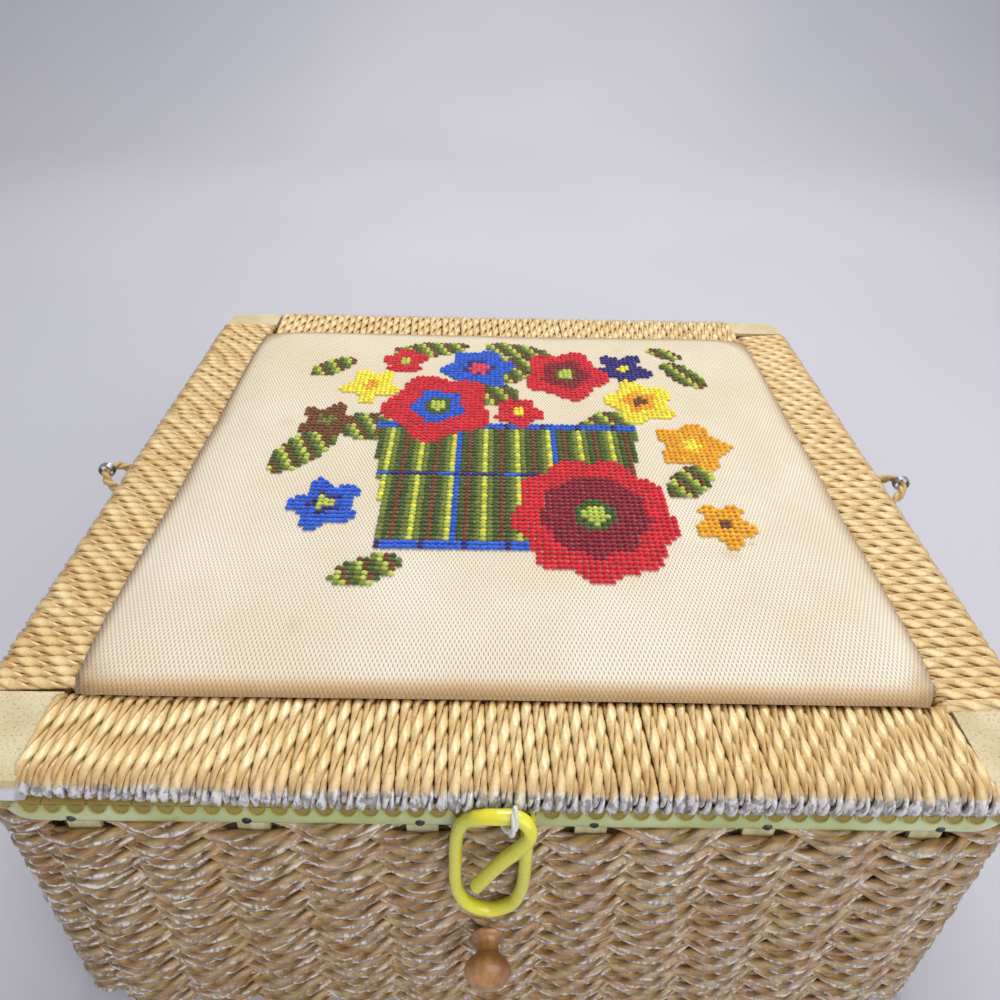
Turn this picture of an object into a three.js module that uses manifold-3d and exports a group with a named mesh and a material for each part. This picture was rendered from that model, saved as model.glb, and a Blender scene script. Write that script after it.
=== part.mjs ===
// A lidded sewing basket: stakes and woven wall, lined inside, with a cord-wrapped lid frame,
// a padded needlework panel, two small butt hinges, side ears and a looped tube closure.
// Millimetres, +Z up. The origin is the middle of the base's underside and -Y is the front.

import * as THREE from 'three';
import { mergeVertices } from 'three/addons/utils/BufferGeometryUtils.js';
import Module from 'manifold-3d';

const wasm = await Module();
wasm.setup();

// Driving dimensions of the lid
const LID_WIDTH = 326;
const LID_DEPTH = 266;
const SIDE_RAIL = 31.5;
const CROSS_RAIL = 29.2;
const CORE_THICKNESS = 4.9;
const CORE_BEVEL = 2.4;
const CORE_FLAT = 0.6;
const WRAP_THICKNESS = 3.5;

// Driving dimensions of the basket
const WIDTH_SETBACK = 7.9;
const DEPTH_SETBACK = 7.3;
const BODY_HEIGHT = 139.5;
const CORNER_RADIUS = 20;
const STAKE_WIDTH = 9.5;
const STAKE_THICKNESS = 1.2;
const ROW_PITCH = 6.3;
const BASE_THICKNESS = 6;
const BASE_ROUNDING = 1.2;
const FLOOR_CLEARANCE = 1.5;

// Clearances and overruns
const FIT = 0.3;
const SOFT_FIT = 0.4;
const OVERRUN = 5;

// Counts
const STAKES_PER_LONG_SIDE = 12;
const STAKES_PER_SHORT_SIDE = 10;
const CORNER_SEGMENTS = 5;

// Rim
const STRIP_HEIGHT = 9;
const STRIP_THICKNESS = 2;
const LACE_HEIGHT = 3.5;
const LACE_THICKNESS = 0.8;
const WALL_DROP = 2.4;
const HOOP_HEIGHT = 12;
const LIP_THICKNESS = 0.7;

// Woven wall: how far the rows stand out from the stakes and how much they swell
const WEAVE_REACH = 4.7;
const WEAVE_SWELL = 1.5;

// Lining and padding
const LINING_GAP = 4.6;
const LINING_THICKNESS = 2;
const LINING_CROWN = 3.4;
const LID_LINING_INSET = 5.5;
const LID_LINING_DEPTH = 3.2;
const PANEL_BOARD = 2.4;
const COVER_THICKNESS = 0.9;
const PAD_EDGE_RISE = 1.6;
const PAD_CROWN = 3.2;
const PAD_TUCK = 1.8;
const PAD_ROUNDING = 4;
const PAD_PLAY = 0.7;
const PAD_WAIST_SHARE = 0.3;

// Windings: each loop carries three cords side by side. The side windings start level with the
// opening's front and pass its back, leaving this length bare at the back corners.
const BACK_BARE_CORNER = 16;
const LOOP_PITCH = 11.2;
const LOOP_GAP = 0.6;
const CORDS_PER_LOOP = 3;
const CORD_GROOVE = 1.1;
const SLOT_WIDTH = 4.4;

// Corner covers
const COVER_SKIN = 1.9;
const COVER_INSET = 0.8;
const COVER_CORNER_RADIUS = 7;

// Hinges
const HINGE_SPREAD = 84;
const HINGE_LENGTH = 24;
const LEAF_THICKNESS = 1;
const LID_LEAF_REACH = 15;
const BASE_LEAF_DROP = 9.6;
const BARREL_RADIUS = 2.3;
const PIN_RADIUS = 0.9;
const PIN_HEAD_RADIUS = 1.7;
const PIN_HEAD_LENGTH = 0.9;
const PIN_HEAD_WIDTH_SHARE = 0.8;
const PIN_HEAD_LENGTH_SHARE = 0.7;
const AXIS_DROP = 1.2;

// Ears, knob and closure
const EAR_CORD_RADIUS = 1.9;
const EAR_REACH = 16.4;
const EAR_HALF_GAP = 6.5;
const EAR_DROP = 5.2;
const EAR_RISE = 7.5;
const EAR_OFFSET = 4;
// Points of half an ear from its foot: shares of its reach, its half gap and its rise
const EAR_PATH_SHARES = [[-0.04, 1, -0.58], [0.12, 1, -0.35], [0.5, 1.05, 0.2], [0.85, 0.8, 0.75]];
const CLIP_LENGTH = 2.4;
const CLIP_WALL = 0.8;
const CLIP_PLAY = 0.9;
const KNOB_HEIGHT = 66;
const KNOB_X = -4.8;
const KNOB_RADIUS = 7.5;
const KNOB_NECK_RADIUS = 3.6;
const KNOB_FOOT_RADIUS = 5.6;
const KNOB_FOOT_LENGTH = 1.6;
const KNOB_NECK_LENGTH = 3.4;
const KNOB_HEAD_LENGTH = 9;
const KNOB_FOOT_EDGE_SHARE = 0.6;
const KNOB_NECK_ANGLE = 0.55;
const KNOB_STEPS = 8;
const TUBE_RADIUS = 1.95;
const TETHER_RADIUS = 0.95;

// The closure tube's route, chosen by hand, from under the lid round its low bend and back.
// Each point is a place across, how far it stands out from the lid's front edge, and its height from the lid's top.
const TETHER_PLACE = [1, 2.4, -5.3];
const CLOSURE_ROUTE = [
  [5.6, -1.1, -11.9], [5.6, -1.1, -17.3], [5.6, -0.4, -24.8], [5.5, 0, -34.3], [5.4, 0, -43.3],
  [4.6, 0, -51.8], [1.9, 0.1, -59.3], [-4.7, 0.2, -62.9], [-11.2, 0.1, -59.3], [-14.3, 0, -51.8],
  [-15.1, 0, -43.3], [-15, 0, -34.3], [-14.8, -0.2, -24.8], [-14, -0.3, -17.8], [-11.6, 0.2, -11.4],
  [-7.6, 1.7, -6.8], [-3, 2.4, -5.2], TETHER_PLACE, [4.3, 3.2, -6.1], [5.9, 4.3, -9], [5, 4.4, -13.3],
  [2.3, 4.2, -18.9], [-0.6, 3.9, -24], [-3.6, 3.6, -30], [-6.4, 3.4, -36], [-8.8, 3.1, -41.6],
];
const CLOSURE_STEP = 4.4;

// The tether goes round the tube from and through these shares of half a turn
const TETHER_START_SHARE = 0.42;
const TETHER_TURN_SHARE = 1.28;
const TETHER_STEPS = 12;

const MATERIALS = {
  wood: { color: 0xb98f5c, roughness: 0.7, metalness: 0 },
  board: { color: 0xd8c8a2, roughness: 0.8, metalness: 0 },
  cord: { color: 0xcbac74, roughness: 0.5, metalness: 0 },
  weave: { color: 0x9c9070, roughness: 0.6, metalness: 0 },
  stake: { color: 0xcdbb94, roughness: 0.7, metalness: 0 },
  strip: { color: 0xa4a97c, roughness: 0.4, metalness: 0 },
  lace: { color: 0x7a6530, roughness: 0.8, metalness: 0 },
  cloth: { color: 0xe4d9c1, roughness: 0.9, metalness: 0 },
  foam: { color: 0xeee6cf, roughness: 0.95, metalness: 0 },
  lining: { color: 0xe3d6a9, roughness: 0.6, metalness: 0 },
  steel: { color: 0xb9b8b2, roughness: 0.35, metalness: 1 },
  vinyl: { color: 0xcdc850, roughness: 0.3, metalness: 0 },
  thread: { color: 0xe6e2d6, roughness: 0.7, metalness: 0 },
};

// Levels that the dimensions above give
const LID_HALF_WIDTH = LID_WIDTH / 2;
const LID_HALF_DEPTH = LID_DEPTH / 2;
const WRAP_OFFSET = FIT + WRAP_THICKNESS;
const LID_THICKNESS = CORE_THICKNESS + 2 * WRAP_OFFSET;
const LID_BOTTOM = BODY_HEIGHT + FIT;
const LID_MID = LID_BOTTOM + LID_THICKNESS / 2;
const LID_TOP = LID_BOTTOM + LID_THICKNESS;
const OPENING_HALF_WIDTH = LID_HALF_WIDTH - SIDE_RAIL;
const OPENING_HALF_DEPTH = LID_HALF_DEPTH - CROSS_RAIL;
const FRONT_WRAP_LENGTH = 2 * (OPENING_HALF_WIDTH + WRAP_THICKNESS);
const BACK_WRAP_LENGTH = 2 * (OPENING_HALF_WIDTH - FIT);
const SIDE_WRAP_FRONT = FIT - OPENING_HALF_DEPTH;
const SIDE_WRAP_BACK = LID_HALF_DEPTH - BACK_BARE_CORNER;
const SIDE_WRAP_LENGTH = SIDE_WRAP_BACK - SIDE_WRAP_FRONT;
const SIDE_WRAP_SHIFT = (SIDE_WRAP_BACK + SIDE_WRAP_FRONT) / 2;
const STAKE_HALF_WIDTH = LID_HALF_WIDTH - WIDTH_SETBACK;
const STAKE_HALF_DEPTH = LID_HALF_DEPTH - DEPTH_SETBACK;
const STRIP_INNER = STAKE_THICKNESS / 2 + FIT;
const STRIP_OUTER = STRIP_INNER + STRIP_THICKNESS;
const WALL_INNER = STAKE_THICKNESS / 2 + FIT;
const LINING_OUTER = -STAKE_THICKNESS / 2 - LINING_GAP;
const LINING_INNER = LINING_OUTER - LINING_THICKNESS;
const HOOP_INNER = LINING_OUTER + FIT;
const HOOP_TOP = BODY_HEIGHT - LIP_THICKNESS - FIT;
const AXIS_Z = LID_BOTTOM - AXIS_DROP;
const LEAF_FACE_Y = STAKE_HALF_DEPTH + STRIP_OUTER + FIT;
const AXIS_Y = LEAF_FACE_Y + LEAF_THICKNESS / 4 + BARREL_RADIUS;

const group = new THREE.Group();

function addPart(name, geometry, look) {
  const mesh = new THREE.Mesh(geometry, new THREE.MeshStandardMaterial(MATERIALS[look]));
  mesh.name = name;
  group.add(mesh);
}

// Geometry to solid and back
function toSolid(geometry) {
  const bare = geometry.clone();
  bare.deleteAttribute('normal');
  bare.deleteAttribute('uv');
  const merged = mergeVertices(bare);
  return new wasm.Manifold(new wasm.Mesh({
    numProp: 3,
    vertProperties: new Float32Array(merged.attributes.position.array),
    triVerts: new Uint32Array(merged.index.array),
  }));
}

function toGeometry(solid) {
  const mesh = solid.getMesh();
  return indexedGeometry(Array.from(mesh.vertProperties), Array.from(mesh.triVerts));
}

function indexedGeometry(positions, triangles) {
  const geometry = new THREE.BufferGeometry();
  geometry.setAttribute('position', new THREE.Float32BufferAttribute(positions, 3));
  geometry.setIndex(triangles);
  geometry.computeVertexNormals();
  return geometry;
}

function boxSolid(low, high) {
  const box = new THREE.BoxGeometry(high[0] - low[0], high[1] - low[1], high[2] - low[2]);
  box.translate((low[0] + high[0]) / 2, (low[1] + high[1]) / 2, (low[2] + high[2]) / 2);
  return toSolid(box);
}

// A rounded rectangle as a closed path of short lines
function roundedOutline(halfWidth, halfDepth, radius) {
  const shape = new THREE.Shape();
  const corners = [[1, -1, -Math.PI / 2], [1, 1, 0], [-1, 1, Math.PI / 2], [-1, -1, Math.PI]];
  for (const [sideX, sideY, start] of corners) {
    const centre = [sideX * (halfWidth - radius), sideY * (halfDepth - radius)];
    for (let i = 0; i <= CORNER_SEGMENTS; i++) {
      const angle = start + (i / CORNER_SEGMENTS) * (Math.PI / 2);
      const x = centre[0] + radius * Math.cos(angle);
      const y = centre[1] + radius * Math.sin(angle);
      if (i === 0 && sideX === 1 && sideY === -1) shape.moveTo(x, y);
      else shape.lineTo(x, y);
    }
  }
  return shape;
}

// A prism on the basket's outline, grown by a distance from the stakes' middle line
function basketPrism(grow, bottom, top) {
  const outline = roundedOutline(STAKE_HALF_WIDTH + grow, STAKE_HALF_DEPTH + grow, CORNER_RADIUS + grow);
  const prism = new THREE.ExtrudeGeometry(outline, { depth: top - bottom, bevelEnabled: false });
  prism.translate(0, 0, bottom);
  return toSolid(prism);
}

function basketBand(inner, outer, bottom, top) {
  return basketPrism(outer, bottom, top).subtract(basketPrism(inner, bottom - OVERRUN, top + OVERRUN));
}

// Places along the stakes' middle line, from corner middle to corner middle
const CORNER_HALF_ARC = (CORNER_RADIUS * Math.PI) / 4;
const LONG_SPAN = 2 * (STAKE_HALF_WIDTH - CORNER_RADIUS + CORNER_HALF_ARC);
const SHORT_SPAN = 2 * (STAKE_HALF_DEPTH - CORNER_RADIUS + CORNER_HALF_ARC);
const STAKE_COUNT = 2 * (STAKES_PER_LONG_SIDE + STAKES_PER_SHORT_SIDE);

function sidePlace(halfLength, halfAcross, span, share) {
  const along = (share - 0.5) * span;
  const straight = halfLength - CORNER_RADIUS;
  if (Math.abs(along) <= straight) return { along, across: halfAcross, turn: 0 };
  const turn = ((Math.abs(along) - straight) / CORNER_RADIUS) * Math.sign(along);
  return {
    along: Math.sign(along) * straight + CORNER_RADIUS * Math.sin(turn),
    across: halfAcross - CORNER_RADIUS + CORNER_RADIUS * Math.cos(turn),
    turn,
  };
}

// The place of stake number index; a half number falls midway to the next stake
function stakePlace(index, grow = 0) {
  const sides = [
    { count: STAKES_PER_LONG_SIDE, long: true, heading: -Math.PI / 2 },
    { count: STAKES_PER_SHORT_SIDE, long: false, heading: 0 },
    { count: STAKES_PER_LONG_SIDE, long: true, heading: Math.PI / 2 },
    { count: STAKES_PER_SHORT_SIDE, long: false, heading: Math.PI },
  ];
  let left = ((index % STAKE_COUNT) + STAKE_COUNT) % STAKE_COUNT;
  let side = 0;
  while (left >= sides[side].count) {
    left -= sides[side].count;
    side += 1;
  }
  const { count, long, heading } = sides[side];
  const place = long
    ? sidePlace(STAKE_HALF_WIDTH, STAKE_HALF_DEPTH, LONG_SPAN, left / count)
    : sidePlace(STAKE_HALF_DEPTH, STAKE_HALF_WIDTH, SHORT_SPAN, left / count);
  const outward = heading + place.turn;
  const out = [Math.cos(heading), Math.sin(heading)];
  const tangent = [-Math.sin(heading), Math.cos(heading)];
  return {
    x: out[0] * place.across + tangent[0] * place.along + grow * Math.cos(outward),
    y: out[1] * place.across + tangent[1] * place.along + grow * Math.sin(outward),
    angle: outward,
  };
}

// Base board with eased edges
function baseBoard() {
  const grow = -STAKE_THICKNESS / 2 - FIT - BASE_ROUNDING;
  const outline = roundedOutline(STAKE_HALF_WIDTH + grow, STAKE_HALF_DEPTH + grow, CORNER_RADIUS + grow);
  const board = new THREE.ExtrudeGeometry(outline, {
    depth: BASE_THICKNESS - 2 * BASE_ROUNDING,
    bevelEnabled: true,
    bevelThickness: BASE_ROUNDING,
    bevelSize: BASE_ROUNDING,
    bevelSegments: 2,
  });
  board.translate(0, 0, BASE_ROUNDING);
  return board;
}

// Stakes and the hoop that joins their tops, with seats for the hinge leaves
function stakeCage() {
  let cage = basketBand(HOOP_INNER, STAKE_THICKNESS / 2, HOOP_TOP - HOOP_HEIGHT, HOOP_TOP);
  const stakeBottom = FLOOR_CLEARANCE;
  const stakeTop = HOOP_TOP - HOOP_HEIGHT / 2;
  for (let i = 0; i < STAKE_COUNT; i++) {
    const place = stakePlace(i);
    const stake = new THREE.BoxGeometry(STAKE_THICKNESS, STAKE_WIDTH, stakeTop - stakeBottom);
    stake.rotateZ(place.angle);
    stake.translate(place.x, place.y, (stakeTop + stakeBottom) / 2);
    cage = cage.add(toSolid(stake));
  }
  cage = cage.intersect(basketPrism(STAKE_THICKNESS / 2, 0, BODY_HEIGHT));
  return toGeometry(cutHingeSeats(cage));
}

// The woven wall: rows of staggered swellings over an open shell
const WALL_TOP = BODY_HEIGHT - STRIP_HEIGHT - WALL_DROP;
const ROW_COUNT = Math.floor((WALL_TOP - FLOOR_CLEARANCE) / ROW_PITCH);
const WALL_BOTTOM = WALL_TOP - ROW_COUNT * ROW_PITCH;

// The wall's facets cut across the corners, so it stands out there to keep clear of the stakes
const COLUMN_TURN = LONG_SPAN / STAKES_PER_LONG_SIDE / CORNER_RADIUS / 2;
const CORNER_EASE = CORNER_RADIUS * (1 - Math.cos(COLUMN_TURN / 2));

function wallPlace(column, grow) {
  const flat = stakePlace(column / 2);
  const square = Math.abs(Math.sin(2 * flat.angle)) < FIT / CORNER_RADIUS;
  return stakePlace(column / 2, grow + (square ? 0 : CORNER_EASE));
}

function wovenWall() {
  const positions = [];
  const triangles = [];
  const columns = 2 * STAKE_COUNT;
  let rings = 0;
  const addRing = (height, growAt) => {
    for (let column = 0; column < columns; column++) {
      const place = wallPlace(column, growAt(column));
      positions.push(place.x, place.y, height);
    }
    rings += 1;
  };
  const level = WEAVE_REACH - WEAVE_SWELL;
  addRing(WALL_BOTTOM, () => level);
  for (let row = 0; row < ROW_COUNT; row++) {
    const swell = (column) => Math.cos((column / 2 + row) * Math.PI) * WEAVE_SWELL;
    addRing(WALL_BOTTOM + (row + 0.5) * ROW_PITCH, (column) => level + swell(column));
  }
  addRing(WALL_TOP, () => level);
  addRing(WALL_TOP, () => WALL_INNER);
  addRing(WALL_BOTTOM, () => WALL_INNER);
  for (let ring = 0; ring < rings; ring++) {
    for (let column = 0; column < columns; column++) {
      const a = ring * columns + column;
      const b = ring * columns + ((column + 1) % columns);
      const c = ((ring + 1) % rings) * columns + column;
      const d = ((ring + 1) % rings) * columns + ((column + 1) % columns);
      if ((column + 2 * ring) % 4 < 2) triangles.push(a, b, d, a, d, c);
      else triangles.push(a, b, c, b, d, c);
    }
  }
  return indexedGeometry(positions, triangles);
}

// Boxes that hold the hinge leaves, with clearance, one for each hinge
function hingePlaces() {
  return [-HINGE_SPREAD, HINGE_SPREAD];
}

function cutHingeSeats(solid) {
  let cut = solid;
  const seatBottom = LID_BOTTOM - FIT - LEAF_THICKNESS - FIT;
  for (const x of hingePlaces()) {
    const low = [x - HINGE_LENGTH / 2 - FIT, AXIS_Y - LID_LEAF_REACH - FIT, seatBottom];
    const high = [x + HINGE_LENGTH / 2 + FIT, AXIS_Y + BARREL_RADIUS, BODY_HEIGHT + OVERRUN];
    cut = cut.subtract(boxSolid(low, high));
  }
  return cut;
}

function rimStrip() {
  return toGeometry(cutHingeSeats(basketBand(STRIP_INNER, STRIP_OUTER, BODY_HEIGHT - STRIP_HEIGHT, BODY_HEIGHT)));
}

// Lace band round the strip's top, in two lengths that stop at the hinges
function laceBand() {
  const inner = STRIP_OUTER + FIT;
  return basketBand(inner, inner + LACE_THICKNESS, BODY_HEIGHT - LACE_HEIGHT, BODY_HEIGHT);
}

function laceTrim() {
  const reach = HINGE_SPREAD + HINGE_LENGTH / 2 + FIT;
  return toGeometry(laceBand().subtract(boxSolid([-reach, 0, 0], [reach, LID_DEPTH, LID_TOP])));
}

function laceTrimBack() {
  const reach = HINGE_SPREAD - HINGE_LENGTH / 2 - FIT;
  return toGeometry(laceBand().intersect(boxSolid([-reach, 0, 0], [reach, LID_DEPTH, LID_TOP])));
}

// Lining: walls with the lip that folds over the hoop, round a separate floor panel
const LINING_BOTTOM = BASE_THICKNESS + FIT;

function basketLining() {
  const walls = basketPrism(LINING_OUTER, LINING_BOTTOM, BODY_HEIGHT);
  const lip = basketPrism(STAKE_THICKNESS / 2, BODY_HEIGHT - LIP_THICKNESS, BODY_HEIGHT);
  const hollow = basketPrism(LINING_INNER, 0, BODY_HEIGHT + OVERRUN);
  return toGeometry(cutHingeSeats(walls.add(lip).subtract(hollow)));
}

function liningFloor() {
  return toGeometry(basketPrism(LINING_INNER - FIT, LINING_BOTTOM, LINING_BOTTOM + LINING_THICKNESS));
}

// Lid frame: a bevelled board with a square-cut opening, slotted where the side loops pass it
function frameCore(grow) {
  const reach = wrapTip() + CORE_BEVEL;
  const halfWidth = LID_HALF_WIDTH - reach;
  const halfDepth = LID_HALF_DEPTH - reach;
  const outline = roundedOutline(halfWidth + grow, halfDepth + grow, COVER_CORNER_RADIUS + grow);
  const plate = new THREE.ExtrudeGeometry(outline, {
    depth: CORE_FLAT,
    bevelEnabled: true,
    bevelThickness: (CORE_THICKNESS - CORE_FLAT) / 2 + grow,
    bevelSize: CORE_BEVEL,
    bevelSegments: 1,
  });
  plate.translate(0, 0, LID_MID - CORE_FLAT / 2);
  return toSolid(plate);
}

function frameOpening(shrink) {
  const halfWidth = OPENING_HALF_WIDTH + WRAP_OFFSET - shrink;
  const halfDepth = OPENING_HALF_DEPTH + WRAP_OFFSET - shrink;
  const slotEnd = SIDE_WRAP_BACK + FIT - shrink;
  const low = LID_MID - LID_THICKNESS;
  const high = LID_MID + LID_THICKNESS;
  let hole = boxSolid([-halfWidth, -halfDepth, low], [halfWidth, halfDepth, high]);
  for (const side of [-1, 1]) {
    const edges = [side * halfWidth, side * (halfWidth - SLOT_WIDTH + shrink)];
    hole = hole.add(boxSolid([Math.min(...edges), 0, low], [Math.max(...edges), slotEnd, high]));
  }
  return hole;
}

// How far the wrap stands out past the core at the frame's outer edge
function wrapTip() {
  const rise = (CORE_THICKNESS - CORE_FLAT) / 2;
  const slope = Math.hypot(CORE_BEVEL, rise);
  return (WRAP_OFFSET * slope + (CORE_FLAT / 2) * CORE_BEVEL) / rise;
}

function lidFrame() {
  return toGeometry(frameCore(0).subtract(frameOpening(0)));
}

// The loop round a rail, seen along it: inner top, outer top, outer edge, outer bottom, inner bottom.
// Inner and outer points are offsets of the core's section, so the wrap keeps its thickness.
function loopSection(offset, railWidth) {
  const halfCore = CORE_THICKNESS / 2;
  const rise = (CORE_THICKNESS - CORE_FLAT) / 2;
  const slope = Math.hypot(CORE_BEVEL, rise);
  const tip = (offset * slope + (CORE_FLAT / 2) * CORE_BEVEL) / rise;
  const coreWidth = railWidth - WRAP_OFFSET - wrapTip();
  const high = halfCore + offset;
  const shoulder = coreWidth + tip - (high * CORE_BEVEL) / rise;
  return [[-offset, high], [shoulder, high], [coreWidth + tip, 0], [shoulder, -high], [-offset, -high]];
}

// One unbroken band wound round a rail; its outer face has three rounded cords
function winding(length, loops, railWidth) {
  const inner = loopSection(FIT, railWidth);
  const outer = loopSection(WRAP_OFFSET, railWidth);
  const groove = loopSection(WRAP_OFFSET - CORD_GROOVE, railWidth);
  const stations = inner.length;
  const steps = loops * stations - 1;
  const pitch = (length + LOOP_GAP) / (steps / stations + 1);
  const width = pitch - LOOP_GAP;
  const profile = [[0, inner]];
  for (let cord = 0; cord < CORDS_PER_LOOP; cord++) {
    profile.push([(cord + 0.5) / CORDS_PER_LOOP, outer]);
    if (cord + 1 < CORDS_PER_LOOP) profile.push([(cord + 1) / CORDS_PER_LOOP, groove]);
  }
  profile.push([1, inner]);
  const positions = [];
  const triangles = [];
  const sides = profile.length;
  for (let step = 0; step <= steps; step++) {
    const station = step % stations;
    const advance = (step / stations) * pitch;
    for (const [share, section] of profile) {
      positions.push(section[station][0], advance + share * width, section[station][1]);
    }
  }
  for (let step = 0; step < steps; step++) {
    for (let side = 0; side < sides; side++) {
      const next = (side + 1) % sides;
      const a = step * sides + side;
      const b = step * sides + next;
      triangles.push(a, a + sides, b, b, a + sides, b + sides);
    }
  }
  const last = steps * sides;
  for (let side = 1; side + 1 < sides; side++) {
    triangles.push(0, side, side + 1);
    triangles.push(last, last + side + 1, last + side);
  }
  const geometry = indexedGeometry(positions, triangles);
  geometry.translate(0, -length / 2, 0);
  return geometry;
}

// Least gap between neighbouring loops, measured from points of one loop to points of the next
function leastGap(geometry, loops) {
  const points = geometry.attributes.position;
  const perLoop = Math.round(points.count / loops);
  const a = new THREE.Vector3();
  const b = new THREE.Vector3();
  let least = Infinity;
  for (let i = 0; i + perLoop < points.count; i++) {
    a.fromBufferAttribute(points, i);
    const first = i + Math.round(perLoop / 2);
    for (let j = first; j < Math.min(points.count, i + 2 * perLoop); j++) {
      b.fromBufferAttribute(points, j);
      least = Math.min(least, a.distanceTo(b));
    }
  }
  return least;
}

function placeWinding(name, length, railWidth, turn, edge, shift) {
  const loops = Math.round(length / LOOP_PITCH);
  const geometry = winding(length, loops, railWidth);
  console.log(`${name}: least gap to itself ${leastGap(geometry, loops).toFixed(2)} mm`);
  const mesh = new THREE.Mesh(geometry, new THREE.MeshStandardMaterial(MATERIALS.cord));
  mesh.name = name;
  mesh.position.set(edge * Math.cos(turn), edge * Math.sin(turn) + shift, LID_MID);
  mesh.rotation.z = turn;
  group.add(mesh);
}

// A folded cover over each bare corner of the frame
function cornerCover(sideX, sideY) {
  const wrapLength = sideY < 0 ? FRONT_WRAP_LENGTH : BACK_WRAP_LENGTH;
  const wrapEnd = sideY < 0 ? -SIDE_WRAP_FRONT : SIDE_WRAP_BACK;
  const reach = COVER_INSET + CORE_BEVEL;
  const outline = roundedOutline(LID_HALF_WIDTH - reach, LID_HALF_DEPTH - reach, COVER_CORNER_RADIUS);
  const plate = new THREE.ExtrudeGeometry(outline, {
    depth: CORE_FLAT,
    bevelEnabled: true,
    bevelThickness: (CORE_THICKNESS - CORE_FLAT) / 2 + FIT + COVER_SKIN,
    bevelSize: CORE_BEVEL,
    bevelSegments: 1,
  });
  plate.translate(0, 0, LID_MID - CORE_FLAT / 2);
  const innerX = wrapLength / 2 + LOOP_GAP;
  const innerY = wrapEnd + LOOP_GAP;
  const near = [innerX, innerY, LID_BOTTOM - OVERRUN];
  const far = [LID_WIDTH, LID_DEPTH, LID_TOP + OVERRUN];
  const low = [sideX > 0 ? near[0] : -far[0], sideY > 0 ? near[1] : -far[1], near[2]];
  const high = [sideX > 0 ? far[0] : -near[0], sideY > 0 ? far[1] : -near[1], far[2]];
  const corner = toSolid(plate).intersect(boxSolid(low, high));
  return toGeometry(corner.subtract(frameCore(FIT)));
}

// Rings of a cushion: each has a share of the half sizes, an inset and a height
function cushionSkin(halfWidth, halfDepth, radius, profile, crown) {
  const positions = [];
  const triangles = [];
  const perRing = roundedOutline(halfWidth, halfDepth, radius).getPoints().length;
  for (const { share, inset, height, rise } of profile) {
    const outline = roundedOutline(halfWidth - inset, halfDepth - inset, Math.max(radius - inset, radius / 2));
    for (const point of outline.getPoints()) {
      const x = point.x * share;
      const y = point.y * share;
      const swell = (1 - (x / halfWidth) ** 2) * (1 - (y / halfDepth) ** 2);
      positions.push(x, y, height + rise * crown * Math.max(swell, 0));
    }
  }
  for (let k = 0; k + 1 < profile.length; k++) {
    for (let i = 0; i < perRing; i++) {
      const j = (i + 1) % perRing;
      const a = k * perRing + i;
      const b = k * perRing + j;
      triangles.push(a, b, a + perRing, b, b + perRing, a + perRing);
    }
  }
  const first = positions.length / 3;
  const bottom = profile[0];
  const top = profile[profile.length - 1];
  positions.push(0, 0, bottom.height + bottom.rise * crown, 0, 0, top.height + top.rise * crown);
  const lastRing = (profile.length - 1) * perRing;
  for (let i = 0; i < perRing; i++) {
    const j = (i + 1) % perRing;
    triangles.push(first, j, i);
    triangles.push(first + 1, lastRing + i, lastRing + j);
  }
  return indexedGeometry(positions, triangles);
}

// The padded panel: a foam cushion with a crown and drawn-in sides, and the cloth drawn over it
const PAD_BOTTOM = LID_MID + PANEL_BOARD / 2 + FIT;

function padProfile(skin) {
  const edge = LID_TOP + PAD_EDGE_RISE - skin;
  const waist = PAD_BOTTOM + (LID_TOP - PAD_BOTTOM) * PAD_WAIST_SHARE;
  const shoulder = edge - PAD_ROUNDING / 2;
  return [
    { share: 1, inset: PAD_TUCK + skin, height: PAD_BOTTOM, rise: 0 },
    { share: 1, inset: PAD_TUCK / 2 + skin, height: waist, rise: 0 },
    { share: 1, inset: skin, height: shoulder - PAD_ROUNDING / 4, rise: 0 },
    { share: 1, inset: PAD_ROUNDING / 4 + skin, height: shoulder + PAD_ROUNDING / 4, rise: 0 },
    { share: 1, inset: PAD_ROUNDING + skin, height: edge, rise: 0 },
    { share: 0.88, inset: PAD_ROUNDING + skin, height: edge, rise: 1 },
    { share: 0.68, inset: PAD_ROUNDING + skin, height: edge, rise: 1 },
    { share: 0.42, inset: PAD_ROUNDING + skin, height: edge, rise: 1 },
    { share: 0.18, inset: PAD_ROUNDING + skin, height: edge, rise: 1 },
  ];
}

function padSkin(skin) {
  const halfWidth = OPENING_HALF_WIDTH - SOFT_FIT;
  const halfDepth = OPENING_HALF_DEPTH - SOFT_FIT;
  return cushionSkin(halfWidth, halfDepth, PAD_ROUNDING, padProfile(skin), PAD_CROWN);
}

function needleworkCover() {
  return toGeometry(toSolid(padSkin(0)).subtract(toSolid(padSkin(COVER_THICKNESS))));
}

function foamPad() {
  return padSkin(COVER_THICKNESS + PAD_PLAY);
}

function panelBoard() {
  const outline = roundedOutline(OPENING_HALF_WIDTH - FIT, OPENING_HALF_DEPTH - FIT, PAD_ROUNDING);
  const board = new THREE.ExtrudeGeometry(outline, { depth: PANEL_BOARD, bevelEnabled: false });
  board.translate(0, 0, LID_MID - PANEL_BOARD / 2);
  return board;
}

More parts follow.
